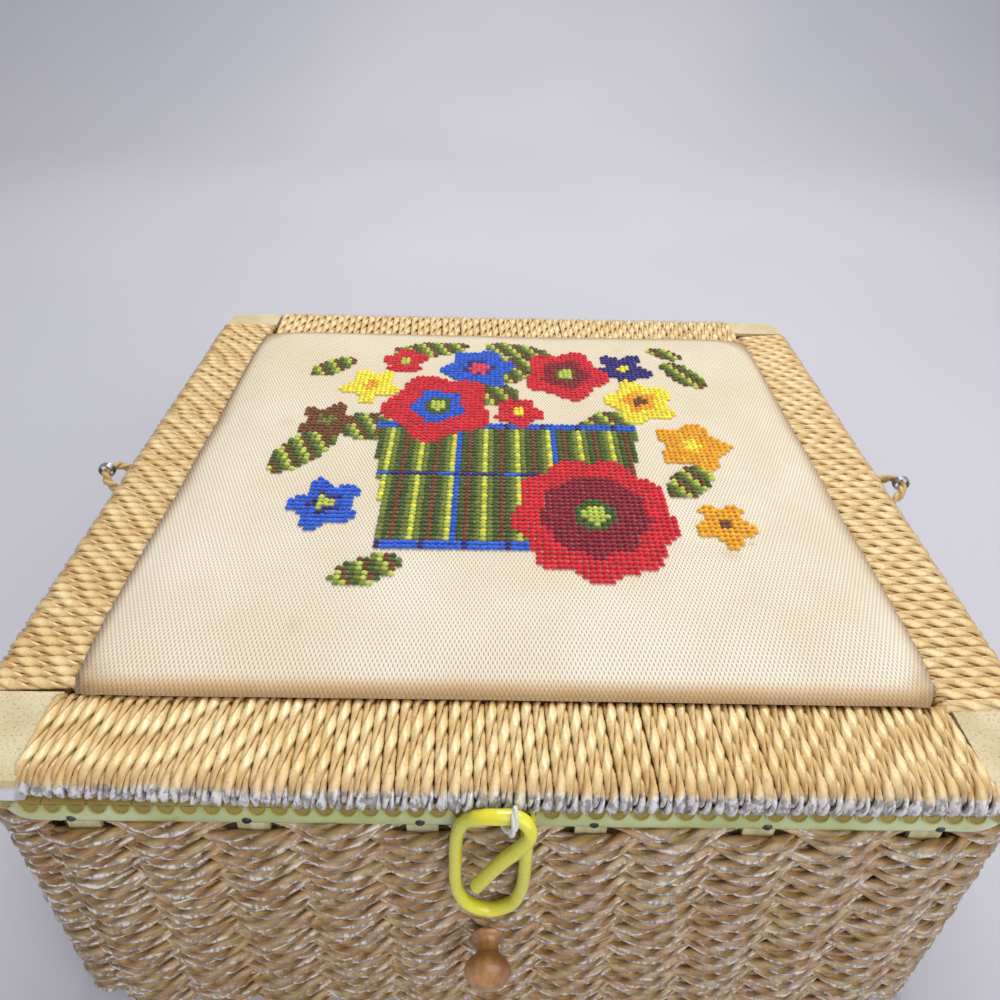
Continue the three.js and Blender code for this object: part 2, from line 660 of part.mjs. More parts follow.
// The lid's padded lining hangs a little into the basket's mouth
function lidLining() {
  const halfWidth = STAKE_HALF_WIDTH + LINING_INNER - LID_LINING_INSET;
  const halfDepth = STAKE_HALF_DEPTH + LINING_INNER - LID_LINING_INSET;
  const top = LID_BOTTOM - FIT;
  const edge = LID_LINING_DEPTH / 4;
  const lining = cushionSkin(halfWidth, halfDepth, CORNER_RADIUS - LID_LINING_INSET, [
    { share: 0.4, inset: LID_LINING_DEPTH, height: -LID_LINING_DEPTH, rise: -0.25 },
    { share: 0.8, inset: LID_LINING_DEPTH, height: -LID_LINING_DEPTH, rise: -0.25 },
    { share: 1, inset: LID_LINING_DEPTH, height: -LID_LINING_DEPTH, rise: 0 },
    { share: 1, inset: edge, height: -LID_LINING_DEPTH + edge, rise: 0 },
    { share: 1, inset: 0, height: -edge, rise: 0 },
    { share: 1, inset: edge, height: 0, rise: 0 },
  ], LINING_CROWN);
  lining.translate(0, 0, top);
  return lining;
}

// Butt hinges: outer knuckles on the basket, the middle one on the lid
function barrel(x, length, radius) {
  const cylinder = new THREE.CylinderGeometry(radius, radius, length, 12);
  cylinder.rotateZ(Math.PI / 2);
  cylinder.translate(x, AXIS_Y, AXIS_Z);
  return toSolid(cylinder);
}

const KNUCKLE = (HINGE_LENGTH - 2 * FIT) / 3;

function hingeBaseLeaf(x) {
  const half = HINGE_LENGTH / 2;
  const plateTop = LID_BOTTOM - FIT - LEAF_THICKNESS - FIT;
  const plate = boxSolid(
    [x - half, LEAF_FACE_Y, AXIS_Z - BASE_LEAF_DROP], [x + half, LEAF_FACE_Y + LEAF_THICKNESS, plateTop]);
  const swept = barrel(x, KNUCKLE + 2 * FIT, BARREL_RADIUS + FIT);
  const step = KNUCKLE + FIT;
  const knuckles = barrel(x - step, KNUCKLE, BARREL_RADIUS).add(barrel(x + step, KNUCKLE, BARREL_RADIUS));
  return toGeometry(plate.subtract(swept).add(knuckles).subtract(barrel(x, LID_WIDTH / 4, PIN_RADIUS + FIT)));
}

function hingeLidLeaf(x) {
  const half = HINGE_LENGTH / 2;
  const plateTop = LID_BOTTOM - FIT;
  const plate = boxSolid(
    [x - half, AXIS_Y - LID_LEAF_REACH, plateTop - LEAF_THICKNESS], [x + half, AXIS_Y, plateTop]);
  const step = KNUCKLE + FIT;
  const sweptLeft = barrel(x - step, KNUCKLE + 2 * FIT, BARREL_RADIUS + FIT);
  const sweptRight = barrel(x + step, KNUCKLE + 2 * FIT, BARREL_RADIUS + FIT);
  const middle = barrel(x, KNUCKLE, BARREL_RADIUS);
  const leaf = plate.subtract(sweptLeft).subtract(sweptRight).add(middle);
  return toGeometry(leaf.subtract(barrel(x, LID_WIDTH / 4, PIN_RADIUS + FIT)));
}

function hingePin(x) {
  const half = HINGE_LENGTH / 2 + FIT;
  const domeRadius = PIN_HEAD_RADIUS * PIN_HEAD_WIDTH_SHARE;
  const domeEnd = half + PIN_HEAD_LENGTH * PIN_HEAD_LENGTH_SHARE;
  const profile = [
    [0, -half - PIN_HEAD_LENGTH], [domeRadius, -domeEnd], [PIN_HEAD_RADIUS, -half], [PIN_RADIUS, -half],
    [PIN_RADIUS, half], [PIN_HEAD_RADIUS, half], [domeRadius, domeEnd], [0, half + PIN_HEAD_LENGTH],
  ];
  const pin = new THREE.LatheGeometry(profile.map(([r, h]) => new THREE.Vector2(r, h)), 8);
  pin.rotateZ(Math.PI / 2);
  pin.translate(x, AXIS_Y, AXIS_Z);
  return pin;
}

// A round tube along a smooth line through chosen points
function tubeAlong(points, radius, sides, steps) {
  const curve = new THREE.CatmullRomCurve3(points.map((p) => new THREE.Vector3(...p)), false, 'centripetal');
  const section = new THREE.Shape();
  for (let i = 0; i < sides; i++) {
    const angle = (i / sides) * Math.PI * 2;
    const x = radius * Math.cos(angle);
    const y = radius * Math.sin(angle);
    if (i === 0) section.moveTo(x, y);
    else section.lineTo(x, y);
  }
  return new THREE.ExtrudeGeometry(section, { steps, extrudePath: curve, bevelEnabled: false });
}

// Side ears: a loop of cord that leaves the rim strip and reaches out past the lid
function earPath(side) {
  const foot = STAKE_HALF_WIDTH + STRIP_OUTER + FIT + EAR_CORD_RADIUS;
  const low = BODY_HEIGHT - EAR_DROP;
  const half = (sign) => EAR_PATH_SHARES.map(([reach, gap, rise]) => [
    side * (foot + EAR_REACH * reach), EAR_OFFSET + sign * EAR_HALF_GAP * gap, low + EAR_RISE * rise,
  ]);
  const tip = [side * (foot + EAR_REACH), EAR_OFFSET, low + EAR_RISE];
  return [...half(-1), tip, ...half(1).reverse()];
}

function earLoop(side) {
  return tubeAlong(earPath(side), EAR_CORD_RADIUS, 8, 16);
}

function earClip(side) {
  const tip = earPath(side)[EAR_PATH_SHARES.length];
  const inner = EAR_CORD_RADIUS + CLIP_PLAY;
  const outer = inner + CLIP_WALL;
  const half = CLIP_LENGTH / 2;
  const profile = [[inner, -half], [outer, -half], [outer, half], [inner, half], [inner, -half]];
  const clip = new THREE.LatheGeometry(profile.map(([r, h]) => new THREE.Vector2(r, h)), 14);
  clip.translate(tip[0], tip[1], tip[2]);
  return clip;
}

// Turned knob below the loop
function frontKnob() {
  const neck = KNOB_FOOT_LENGTH + KNOB_NECK_LENGTH;
  const profile = [
    [0, 0], [KNOB_FOOT_RADIUS, 0], [KNOB_FOOT_RADIUS, KNOB_FOOT_LENGTH * KNOB_FOOT_EDGE_SHARE],
    [KNOB_NECK_RADIUS, KNOB_FOOT_LENGTH], [KNOB_NECK_RADIUS, neck],
  ];
  for (let i = 0; i <= KNOB_STEPS; i++) {
    const angle = -Math.PI / 2 + KNOB_NECK_ANGLE + (i / KNOB_STEPS) * (Math.PI - KNOB_NECK_ANGLE);
    const radius = i === KNOB_STEPS ? 0 : KNOB_RADIUS * Math.cos(angle);
    profile.push([radius, neck + (KNOB_HEAD_LENGTH / 2) * (1 + Math.sin(angle))]);
  }
  const knob = new THREE.LatheGeometry(profile.map(([r, h]) => new THREE.Vector2(r, h)), 16);
  knob.rotateX(Math.PI);
  knob.translate(KNOB_X, -STAKE_HALF_DEPTH - WEAVE_REACH - FIT, KNOB_HEIGHT);
  return knob;
}

function closurePlace([across, out, up]) {
  return [across, -LID_HALF_DEPTH - out, LID_TOP + up];
}

// Short thread tether that holds the tube against the wrap
function closureTether() {
  const [tubeX, tubeY, tubeZ] = closurePlace(TETHER_PLACE);
  const ring = TUBE_RADIUS + FIT + TETHER_RADIUS;
  const points = [];
  for (let i = 0; i <= TETHER_STEPS; i++) {
    const angle = Math.PI * (TETHER_START_SHARE + (i / TETHER_STEPS) * TETHER_TURN_SHARE);
    points.push([tubeX, tubeY + ring * Math.cos(angle), tubeZ + ring * Math.sin(angle)]);
  }
  return tubeAlong(points, TETHER_RADIUS, 8, TETHER_STEPS);
}

function closureLoop() {
  const route = CLOSURE_ROUTE.map(closurePlace);
  const curve = new THREE.CatmullRomCurve3(route.map((point) => new THREE.Vector3(...point)));
  const steps = Math.ceil(curve.getLength() / CLOSURE_STEP);
  return tubeAlong(route, TUBE_RADIUS, 8, steps);
}

addPart('base_board', baseBoard(), 'wood');
addPart('stake_cage', stakeCage(), 'stake');
addPart('woven_wall', wovenWall(), 'weave');
addPart('rim_strip', rimStrip(), 'strip');
addPart('lace_trim', laceTrim(), 'lace');
addPart('lace_trim_back', laceTrimBack(), 'lace');
addPart('basket_lining', basketLining(), 'lining');
addPart('lining_floor', liningFloor(), 'lining');
for (const [name, x] of [['left', -HINGE_SPREAD], ['right', HINGE_SPREAD]]) {
  addPart(`hinge_base_leaf_${name}`, hingeBaseLeaf(x), 'steel');
  addPart(`hinge_pin_${name}`, hingePin(x), 'steel');
  addPart(`hinge_lid_leaf_${name}`, hingeLidLeaf(x), 'steel');
}
addPart('front_knob', frontKnob(), 'wood');
for (const [name, side] of [['left', -1], ['right', 1]]) {
  addPart(`ear_loop_${name}`, earLoop(side), 'cord');
  addPart(`ear_clip_${name}`, earClip(side), 'steel');
}

addPart('lid_frame', lidFrame(), 'wood');
const CROSS_EDGE = OPENING_HALF_DEPTH + WRAP_OFFSET;
const SIDE_EDGE = OPENING_HALF_WIDTH + WRAP_OFFSET;
placeWinding('winding_front', FRONT_WRAP_LENGTH, CROSS_RAIL, -Math.PI / 2, CROSS_EDGE, 0);
placeWinding('winding_right', SIDE_WRAP_LENGTH, SIDE_RAIL, 0, SIDE_EDGE, SIDE_WRAP_SHIFT);
placeWinding('winding_back', BACK_WRAP_LENGTH, CROSS_RAIL, Math.PI / 2, CROSS_EDGE, 0);
placeWinding('winding_left', SIDE_WRAP_LENGTH, SIDE_RAIL, Math.PI, SIDE_EDGE, SIDE_WRAP_SHIFT);
addPart('corner_cover_front_right', cornerCover(1, -1), 'board');
addPart('corner_cover_front_left', cornerCover(-1, -1), 'board');
addPart('corner_cover_back_right', cornerCover(1, 1), 'board');
addPart('corner_cover_back_left', cornerCover(-1, 1), 'board');
addPart('panel_board', panelBoard(), 'board');
addPart('foam_pad', foamPad(), 'foam');
addPart('needlework_cover', needleworkCover(), 'cloth');
addPart('lid_lining', lidLining(), 'lining');
addPart('closure_tether', closureTether(), 'thread');

addPart('closure_loop', closureLoop(), 'vinyl');

export default group;
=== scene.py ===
"""A woven sewing basket with a cord-wrapped lid and a needlework panel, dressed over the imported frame.

Lengths inside this script are millimetres until a mesh is made; the scene itself is in metres.
"""

import math

import bpy
import numpy as np
from mathutils import Matrix, Vector
from mathutils.bvhtree import BVHTree


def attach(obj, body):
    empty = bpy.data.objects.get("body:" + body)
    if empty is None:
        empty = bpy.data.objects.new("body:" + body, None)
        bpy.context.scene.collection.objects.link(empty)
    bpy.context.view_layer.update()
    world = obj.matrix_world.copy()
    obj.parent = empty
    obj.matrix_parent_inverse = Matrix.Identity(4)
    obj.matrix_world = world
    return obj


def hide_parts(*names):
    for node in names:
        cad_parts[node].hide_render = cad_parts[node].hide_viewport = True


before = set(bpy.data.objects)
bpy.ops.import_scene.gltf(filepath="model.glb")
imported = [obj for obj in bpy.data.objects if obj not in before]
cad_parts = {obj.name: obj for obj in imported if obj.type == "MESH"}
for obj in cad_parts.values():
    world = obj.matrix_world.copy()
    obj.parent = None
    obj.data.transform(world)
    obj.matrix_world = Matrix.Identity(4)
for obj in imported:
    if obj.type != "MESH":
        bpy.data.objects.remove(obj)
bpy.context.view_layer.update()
MM = 0.001

# Sizes repeated from the CAD source
LID_HALF_WIDTH, LID_HALF_DEPTH = 163.0, 133.0
LID_TOP, LID_MID, LID_BOTTOM = 152.3, 146.05, 139.8
SIDE_RAIL, CROSS_RAIL = 31.5, 29.2
OPENING_X, OPENING_Y = 131.5, 103.8
STAKE_X, STAKE_Y, STAKE_CORNER = 155.1, 125.7, 20.0
BODY_TOP = 139.5
WALL_TOP, WALL_ROWS, ROW_PITCH = 126.8, 20, 6.2
STAKES_LONG, STAKES_SHORT = 12, 10
HINGE_NEAR, HINGE_FAR, BACK_Y = 68, 100, 100
TUBE_RADIUS = 1.95
EAR_Y, EAR_REACH, EAR_GAP, EAR_RISE = 4, 16.4, 6.5, 7.5
EAR_FOOT = STAKE_X + 2.9 + 0.3 + 1.9
TETHER_PLACE = [1, 2.4, -5.3]
CLOSURE_ROUTE = [
    [5.6, -1.1, -11.9], [5.6, -1.1, -17.3], [5.6, -0.4, -24.8], [5.5, 0, -34.3], [5.4, 0, -43.3],
    [4.6, 0, -51.8], [1.9, 0.1, -59.3], [-4.7, 0.2, -62.9], [-11.2, 0.1, -59.3], [-14.3, 0, -51.8],
    [-15.1, 0, -43.3], [-15, 0, -34.3], [-14.8, -0.2, -24.8], [-14, -0.3, -17.8], [-11.6, 0.2, -11.4],
    [-7.6, 1.7, -6.8], [-3, 2.4, -5.2], TETHER_PLACE, [4.3, 3.2, -6.1], [5.9, 4.3, -9], [5, 4.4, -13.3],
    [2.3, 4.2, -18.9], [-0.6, 3.9, -24], [-3.6, 3.6, -30], [-6.4, 3.4, -36], [-8.8, 3.1, -41.6],
]


def add_object(name, data):
    """A scene object round a mesh, camera or lamp."""
    made = bpy.data.objects.new(name, data)
    bpy.context.scene.collection.objects.link(made)
    return made


# ---- Camera ----

YAW, PITCH, ROLL = (math.radians(a) for a in (0.551, 28.331, 1.339))
CAMERA_PLACE = (-6.8, -240.5, LID_TOP + 210.6)
camera_data = bpy.data.cameras.new("camera")
camera_data.lens = 25.91
camera_data.sensor_width = 36
camera_data.shift_y = -0.2
camera_data.clip_start, camera_data.clip_end = 0.01, 20
camera = add_object("camera", camera_data)
aim = Matrix.Translation(Vector(CAMERA_PLACE) * MM)
for angle, axis in ((-YAW, "Z"), (math.pi / 2 - PITCH, "X"), (ROLL, "Z")):
    aim @= Matrix.Rotation(angle, 4, axis)
camera.matrix_world = aim
bpy.context.scene.camera = camera


# ---- Meshes ----

def make_mesh(name, shape, materials, body, replaces=()):
    """A piece from its points in millimetres, its faces and, if given, each face's material number."""
    points, faces, *numbers = shape
    mesh = bpy.data.meshes.new(name)
    mesh.from_pydata(points * MM, [], faces)
    for material in materials if isinstance(materials, list) else [materials]:
        mesh.materials.append(material)
    if numbers:
        mesh.polygons.foreach_set("material_index", numbers[0].astype(np.int32))
    mesh.validate()
    mesh.shade_smooth()
    piece = add_object(name, mesh)
    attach(piece, body)
    if replaces:
        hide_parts(*replaces)
    return piece


def grid_faces(rings, sides, closed_rings=False, closed_sides=True):
    """Quads of a grid of rings of points; the rings run round unless closed_sides is False."""
    last_ring = rings if closed_rings else rings - 1
    last_side = sides if closed_sides else sides - 1
    ring, side = np.meshgrid(np.arange(last_ring), np.arange(last_side), indexing="ij")
    next_side = (side + 1) % sides
    here, ahead = ring * sides, (ring + 1) % rings * sides
    return np.stack([here + side, here + next_side, ahead + next_side, ahead + side], axis=-1).reshape(-1, 4)


def loft(rings, **closed):
    """One shape through rings of points."""
    return np.concatenate(rings), grid_faces(len(rings), len(rings[0]), **closed)


def join(parts):
    """One shape from several, each of points, faces and, if given, material numbers."""
    points, faces, numbers, offset = [], [], [], 0
    for some_points, some_faces, *number in parts:
        points.append(some_points)
        faces.append(some_faces + offset)
        numbers.append(np.full(len(some_faces), number[0] if number else 0))
        offset += len(some_points)
    return np.concatenate(points), np.concatenate(faces), np.concatenate(numbers)


def unit(vectors):
    return vectors / np.maximum(np.linalg.norm(vectors, axis=-1, keepdims=True), 1e-9)


def round_angles(count):
    return np.linspace(0, 2 * np.pi, count, endpoint=False)


def smooth_step(share):
    return share * share * (3 - 2 * share)


def smooth_noise(count, knots, seed):
    """Smooth seeded noise of about -1 to 1 along a line of count samples."""
    values = np.random.default_rng(seed).uniform(-1, 1, knots + 1)
    place = np.linspace(0, knots, count)
    low = np.clip(place.astype(int), 0, knots - 1)
    ease = smooth_step(place - low)
    return values[low] * (1 - ease) + values[low + 1] * ease


def tube_piece(centres, radius, sides):
    """A round tube along points, with its ends drawn to small rings."""
    ends = unit(centres[0] - centres[1]), unit(centres[-1] - centres[-2])
    centres = np.vstack([centres[0] + ends[0] * radius / 4, centres, centres[-1] + ends[1] * radius / 4])
    radii = np.full(len(centres), float(radius))
    radii[[0, -1]] *= 0.35
    tangents = unit(np.gradient(centres, axis=0))
    normal = np.array([0.0, 0.0, 1.0])
    if abs(normal @ tangents[0]) > 0.9:
        normal = np.array([1.0, 0.0, 0.0])
    angle = round_angles(sides)[:, None]
    rings = []
    for centre, tangent, size in zip(centres, tangents, radii):
        normal = unit(normal - tangent * (normal @ tangent))
        other = np.cross(tangent, normal)
        rings.append(centre + size * (np.cos(angle) * normal + np.sin(angle) * other))
    return loft(rings)


def spline(points, count):
    """Smooth line through points, resampled evenly."""
    points = np.array(points, dtype=float)
    ext = np.vstack([2 * points[0] - points[1], points, 2 * points[-1] - points[-2]])
    t = np.linspace(0, 1, 16, endpoint=False)[:, None]
    line = [0.5 * (2 * b + (c - a) * t + (2 * a - 5 * b + 4 * c - d) * t**2 + (3 * b - a - 3 * c + d) * t**3)
            for a, b, c, d in zip(ext, ext[1:], ext[2:], ext[3:])]
    return resample(np.concatenate([*line, points[-1:]]), count)


def distances(line):
    """Distance along a line at each of its points."""
    return np.concatenate([[0], np.cumsum(np.linalg.norm(np.diff(line, axis=0), axis=1))])


def points_at(at, reach, line):
    """Points at given distances along a line that has its own points' distances in reach."""
    return np.stack([np.interp(at, reach, line[:, k]) for k in range(3)], axis=-1)


def resample(line, count, closed=False):
    """Count points at even distances along a line."""
    if closed:
        line = np.vstack([line, line[:1]])
    reach = distances(line)
    return points_at(np.linspace(0, reach[-1], count, endpoint=not closed), reach, line)


def line_length(line):
    return float(distances(line)[-1])


def two_ply(centres, normals, turn_length, ply_radius, spread, sides, phase=0.0, sign=-1, swell=1.0,
            side_ease=1.0, thick=0.94, broad=1.12):
    """Two plies twisted round a line, each thick towards the other and broad across.

    Normals point outward. swell scales the cord along its line, and side_ease narrows it to its sides.
    """
    along = distances(centres)
    tangents = unit(np.gradient(centres, axis=0))
    normals = unit(normals - tangents * np.sum(normals * tangents, axis=1, keepdims=True))
    across = np.cross(tangents, normals)
    swell = np.broadcast_to(swell, len(centres))
    parts = []
    angle = round_angles(sides)
    for ply in (0, 1):
        twist = (sign * 2 * np.pi * along / turn_length + phase + ply * np.pi)[:, None]
        radial = np.cos(twist) * normals + np.sin(twist) * across
        tangential = -np.sin(twist) * normals + np.cos(twist) * across
        middle = centres + spread * swell[:, None] * radial
        ring = (np.cos(angle)[None, :, None] * radial[:, None, :] * thick
                + np.sin(angle)[None, :, None] * tangential[:, None, :] * broad)
        points = middle[:, None, :] + ply_radius * swell[:, None, None] * ring
        lean = np.sum((points - centres[:, None, :]) * across[:, None, :], axis=-1, keepdims=True)
        points = points + (side_ease - 1) * lean * across[:, None, :]
        for end in (0, -1):
            points[end] = middle[end] + (points[end] - middle[end]) * 0.4
        parts.append(loft(points))
    return join(parts)


def lathe(profile, segments, axis, place):
    """A turned solid: its profile gives radius and height along the axis from place."""
    angle = round_angles(segments)[:, None]
    axis = unit(np.array(axis, dtype=float))
    helper = np.array([1.0, 0, 0]) if abs(axis[0]) < 0.9 else np.array([0, 1.0, 0])
    first = unit(np.cross(axis, helper))
    second = np.cross(axis, first)
    ring = np.cos(angle) * first + np.sin(angle) * second
    return loft([np.array(place) + r * ring + h * axis for r, h in profile])


# ---- Materials ----

def linear(rgb):
    """Linear colour from sRGB 0 to 255."""
    c = np.array(rgb, dtype=float) / 255
    c = np.where(c <= 0.04045, c / 12.92, ((c + 0.055) / 1.055) ** 2.4)
    return (*c.tolist(), 1.0)


class Nodes:
    """A material's node tree, with short calls for the nodes used here."""

    def __init__(self, name, roughness, metallic=0.0, coat=0.0, coat_roughness=0.2, sheen=0.0, specular=0.5,
                 subsurface=0.0):
        self.material = bpy.data.materials.new(name)
        self.material.use_nodes = True
        self.tree = self.material.node_tree
        self.shader = self.tree.nodes["Principled BSDF"]
        values = {"Roughness": roughness, "Metallic": metallic, "Coat Weight": coat,
                  "Coat Roughness": coat_roughness, "Sheen Weight": sheen, "Specular IOR Level": specular,
                  "Subsurface Weight": subsurface, "Subsurface Scale": 1.0}
        for key, value in values.items():
            self.feed(self.shader.inputs[key], value)
        self.shader.inputs["Subsurface Radius"].default_value = (0.003, 0.003, 0.001)
        self.place = self.new("ShaderNodeTexCoord").outputs["Object"]

    def new(self, kind, inputs=(), **settings):
        """A node with its settings, and its inputs by name or number."""
        node = self.tree.nodes.new(kind)
        for key, value in settings.items():
            setattr(node, key, value)
        for key, value in dict(inputs).items():
            self.feed(node.inputs[key], value)
        return node

    def feed(self, socket, value):
        """Sets a socket to a number or an sRGB colour, or links it to another socket."""
        if isinstance(value, tuple):
            socket.default_value = linear(value)
        elif isinstance(value, (int, float)):
            socket.default_value = value
        else:
            self.tree.links.new(value, socket)

    def math(self, operation, a, b=0.0):
        return self.new("ShaderNodeMath", {0: a, 1: b}, operation=operation).outputs[0]

    def times(self, a, b):
        return self.math("MULTIPLY", a, b)

    def plus(self, a, b):
        return self.math("ADD", a, b)

    def minus(self, a, b):
        return self.math("SUBTRACT", a, b)

    def axes(self, vector=None):
        return self.new("ShaderNodeSeparateXYZ", {0: self.place if vector is None else vector}).outputs

    def surface(self, output):
        return self.new("ShaderNodeNewGeometry").outputs[output]

    def scaled(self, x, y, z):
        node = self.new("ShaderNodeMapping", {0: self.place})
        node.inputs["Scale"].default_value = (x, y, z)
        return node.outputs[0]

    def noise(self, scale, detail=2.0, vector=None, roughness=0.5):
        inputs = {"Vector": self.place if vector is None else vector, "Scale": scale, "Detail": detail,
                  "Roughness": roughness}
        return self.new("ShaderNodeTexNoise", inputs).outputs[0]

    def ramp(self, value, low, high, to_low=0.0, to_high=1.0):
        inputs = {"Value": value, "From Min": low, "From Max": high, "To Min": to_low, "To Max": to_high}
        return self.new("ShaderNodeMapRange", inputs, interpolation_type="SMOOTHSTEP").outputs[0]

    def patches(self, scale, detail=3.0, low=0.0, high=1.0):
        """Soft patches from low to high."""
        return self.ramp(self.noise(scale, detail), 0.3, 0.7, low, high)

    def mix(self, share, a, b):
        return self.new("ShaderNodeMix", {0: share, 6: a, 7: b}, data_type="RGBA").outputs[2]

    def bump(self, height, distance, strength=1.0, below=None):
        inputs = {"Height": height, "Distance": distance, "Strength": strength}
        if below is not None:
            inputs["Normal"] = below
        return self.new("ShaderNodeBump", inputs).outputs[0]

    def finish(self, colour, normal=None, roughness=None):
        for key, value in (("Base Color", colour), ("Normal", normal), ("Roughness", roughness)):
            if value is not None:
                self.feed(self.shader.inputs[key], value)
        return self.material


def cord_material(name, base, pale, dark, painted_reflection=None, painted_reflection_share=None, roughness=0.4, coat=0.25,
                  groove_shade_share=0.6):
    """Twisted paper cord: creased fibres, painted shade in the grooves along the plies' edges, patches of
    tone, if given a painted reflection with painted glints, and a waxy gloss.
    """
    n = Nodes(name, roughness=roughness, coat=coat, coat_roughness=0.25)
    colour = n.mix(n.patches(95), base, pale)
    streaks = n.noise(900, 4.0, roughness=0.65)
    colour = n.mix(n.ramp(streaks, 0.52, 0.75, 0.0, 0.55), colour, dark)
    # Painted shade: the dark colour laid into the concave grooves between plies, found by pointiness.
    groove_shade = n.ramp(n.surface("Pointiness"), 0.545, 0.6, 0.0, groove_shade_share)
    colour = n.mix(groove_shade, colour, dark)
    crease = n.bump(streaks, 0.00025, 0.5)
    gloss = n.patches(260, 2.0, roughness - 0.1, roughness + 0.14)
    # Painted reflection: a grey-white colour with painted glints, mixed in by the share that the given
    # function computes, with a little metal.
    if painted_reflection is not None:
        share = painted_reflection_share(n)
        glint_noise = n.noise(1.0, 3.0, n.scaled(620, 620, 260), 0.6)
        reflection_tone = n.mix(n.ramp(glint_noise, 0.4, 0.58), tuple(0.6 * c for c in painted_reflection), painted_reflection)
        colour = n.mix(share, colour, reflection_tone)
        n.feed(n.shader.inputs["Metallic"], n.times(share, 0.2))
        crease = n.bump(n.times(glint_noise, share), 0.0005, 0.7, crease)
    return n.finish(colour, crease, gloss)


def wrap_painted_reflection(n):
    """Share of the wrap's painted reflection: most low on the lid's outer sides, with a ragged upper edge."""
    turn_in, slope, ragged = 5.8, 0.95, 7.5
    x, y, z = n.axes()
    out = n.math("MAXIMUM", n.minus(n.math("ABSOLUTE", y), (LID_HALF_DEPTH - turn_in) * MM),
                 n.minus(n.math("ABSOLUTE", x), (LID_HALF_WIDTH - turn_in) * MM))
    rise = n.minus(n.minus(z, (LID_MID + 0.4) * MM), n.times(out, slope))
    rise = n.plus(rise, n.times(n.minus(n.noise(330, 3.0), 0.5), ragged * MM))
    return n.ramp(rise, -2.2 * MM, 1.5 * MM, 0.9, 0.0)


def weave_painted_reflection(n):
    """Share of the weave's painted reflection and glints: streaks along the cords, few on faces that look up.
    """
    streaks = n.ramp(n.noise(1.0, 3.0, n.scaled(70, 70, 520)), 0.42, 0.58, 0.08, 1.0)
    return n.times(n.ramp(n.axes(n.surface("Normal"))[2], 0.25, 0.75, 0.8, 0.06), streaks)


# The fourth colour of the wrap and of the weave is their painted reflection colour, grey-white.
WRAP = cord_material("wrap_cord", (232, 203, 139), (246, 224, 170), (168, 116, 54), (232, 229, 229),
                     wrap_painted_reflection, roughness=0.3, coat=0.6, groove_shade_share=0.7)
WEAVE = cord_material("woven_cord", (204, 154, 78), (226, 190, 120), (82, 50, 22), (252, 248, 240),
                      weave_painted_reflection, roughness=0.32, coat=0.5, groove_shade_share=0.8)
EAR = cord_material("ear_cord", (206, 168, 104), (226, 194, 136), (150, 108, 56))


def wood_material(name, base, dark, scale, roughness=0.6, coat=0.0):
    """Wood with streaks of two sizes; scale sets how short the grain is along each axis."""
    n = Nodes(name, roughness=roughness, coat=coat)
    grain = n.noise(1.0, 5.0, n.scaled(*scale), 0.6)
    colour = n.mix(n.ramp(grain, 0.35, 0.7), base, dark)
    fine = n.noise(1.0, 3.0, n.scaled(*(5 * s for s in scale)))
    colour = n.mix(n.ramp(fine, 0.5, 0.8, 0.0, 0.4), colour, dark)
    return n.finish(colour, n.bump(grain, 0.0003, 0.4))


STAKE = wood_material("stake_splint", (214, 206, 164), (182, 168, 120), (260, 260, 18))
BASE = wood_material("base_wood", (196, 170, 128), (158, 126, 84), (14, 240, 240))
KNOB = wood_material("knob_wood", (190, 138, 78), (136, 88, 44), (200, 26, 200), roughness=0.35, coat=0.5)
# The frame's brown is dark because it shows only in the gaps between cords: partly the wood's own colour,
# partly painted shade.
FRAME_WOOD = wood_material("frame_wood", (132, 98, 56), (96, 66, 32), (20, 200, 200))


# Stains on the cloth: place, radius and strength
SPOTS = ((82, -52, 5.0, 0.3), (91, -47, 2.2, 0.4), (-100, 20, 6.0, 0.2), (60, 88, 4.0, 0.2),
         (-70, -84, 5.0, 0.2))


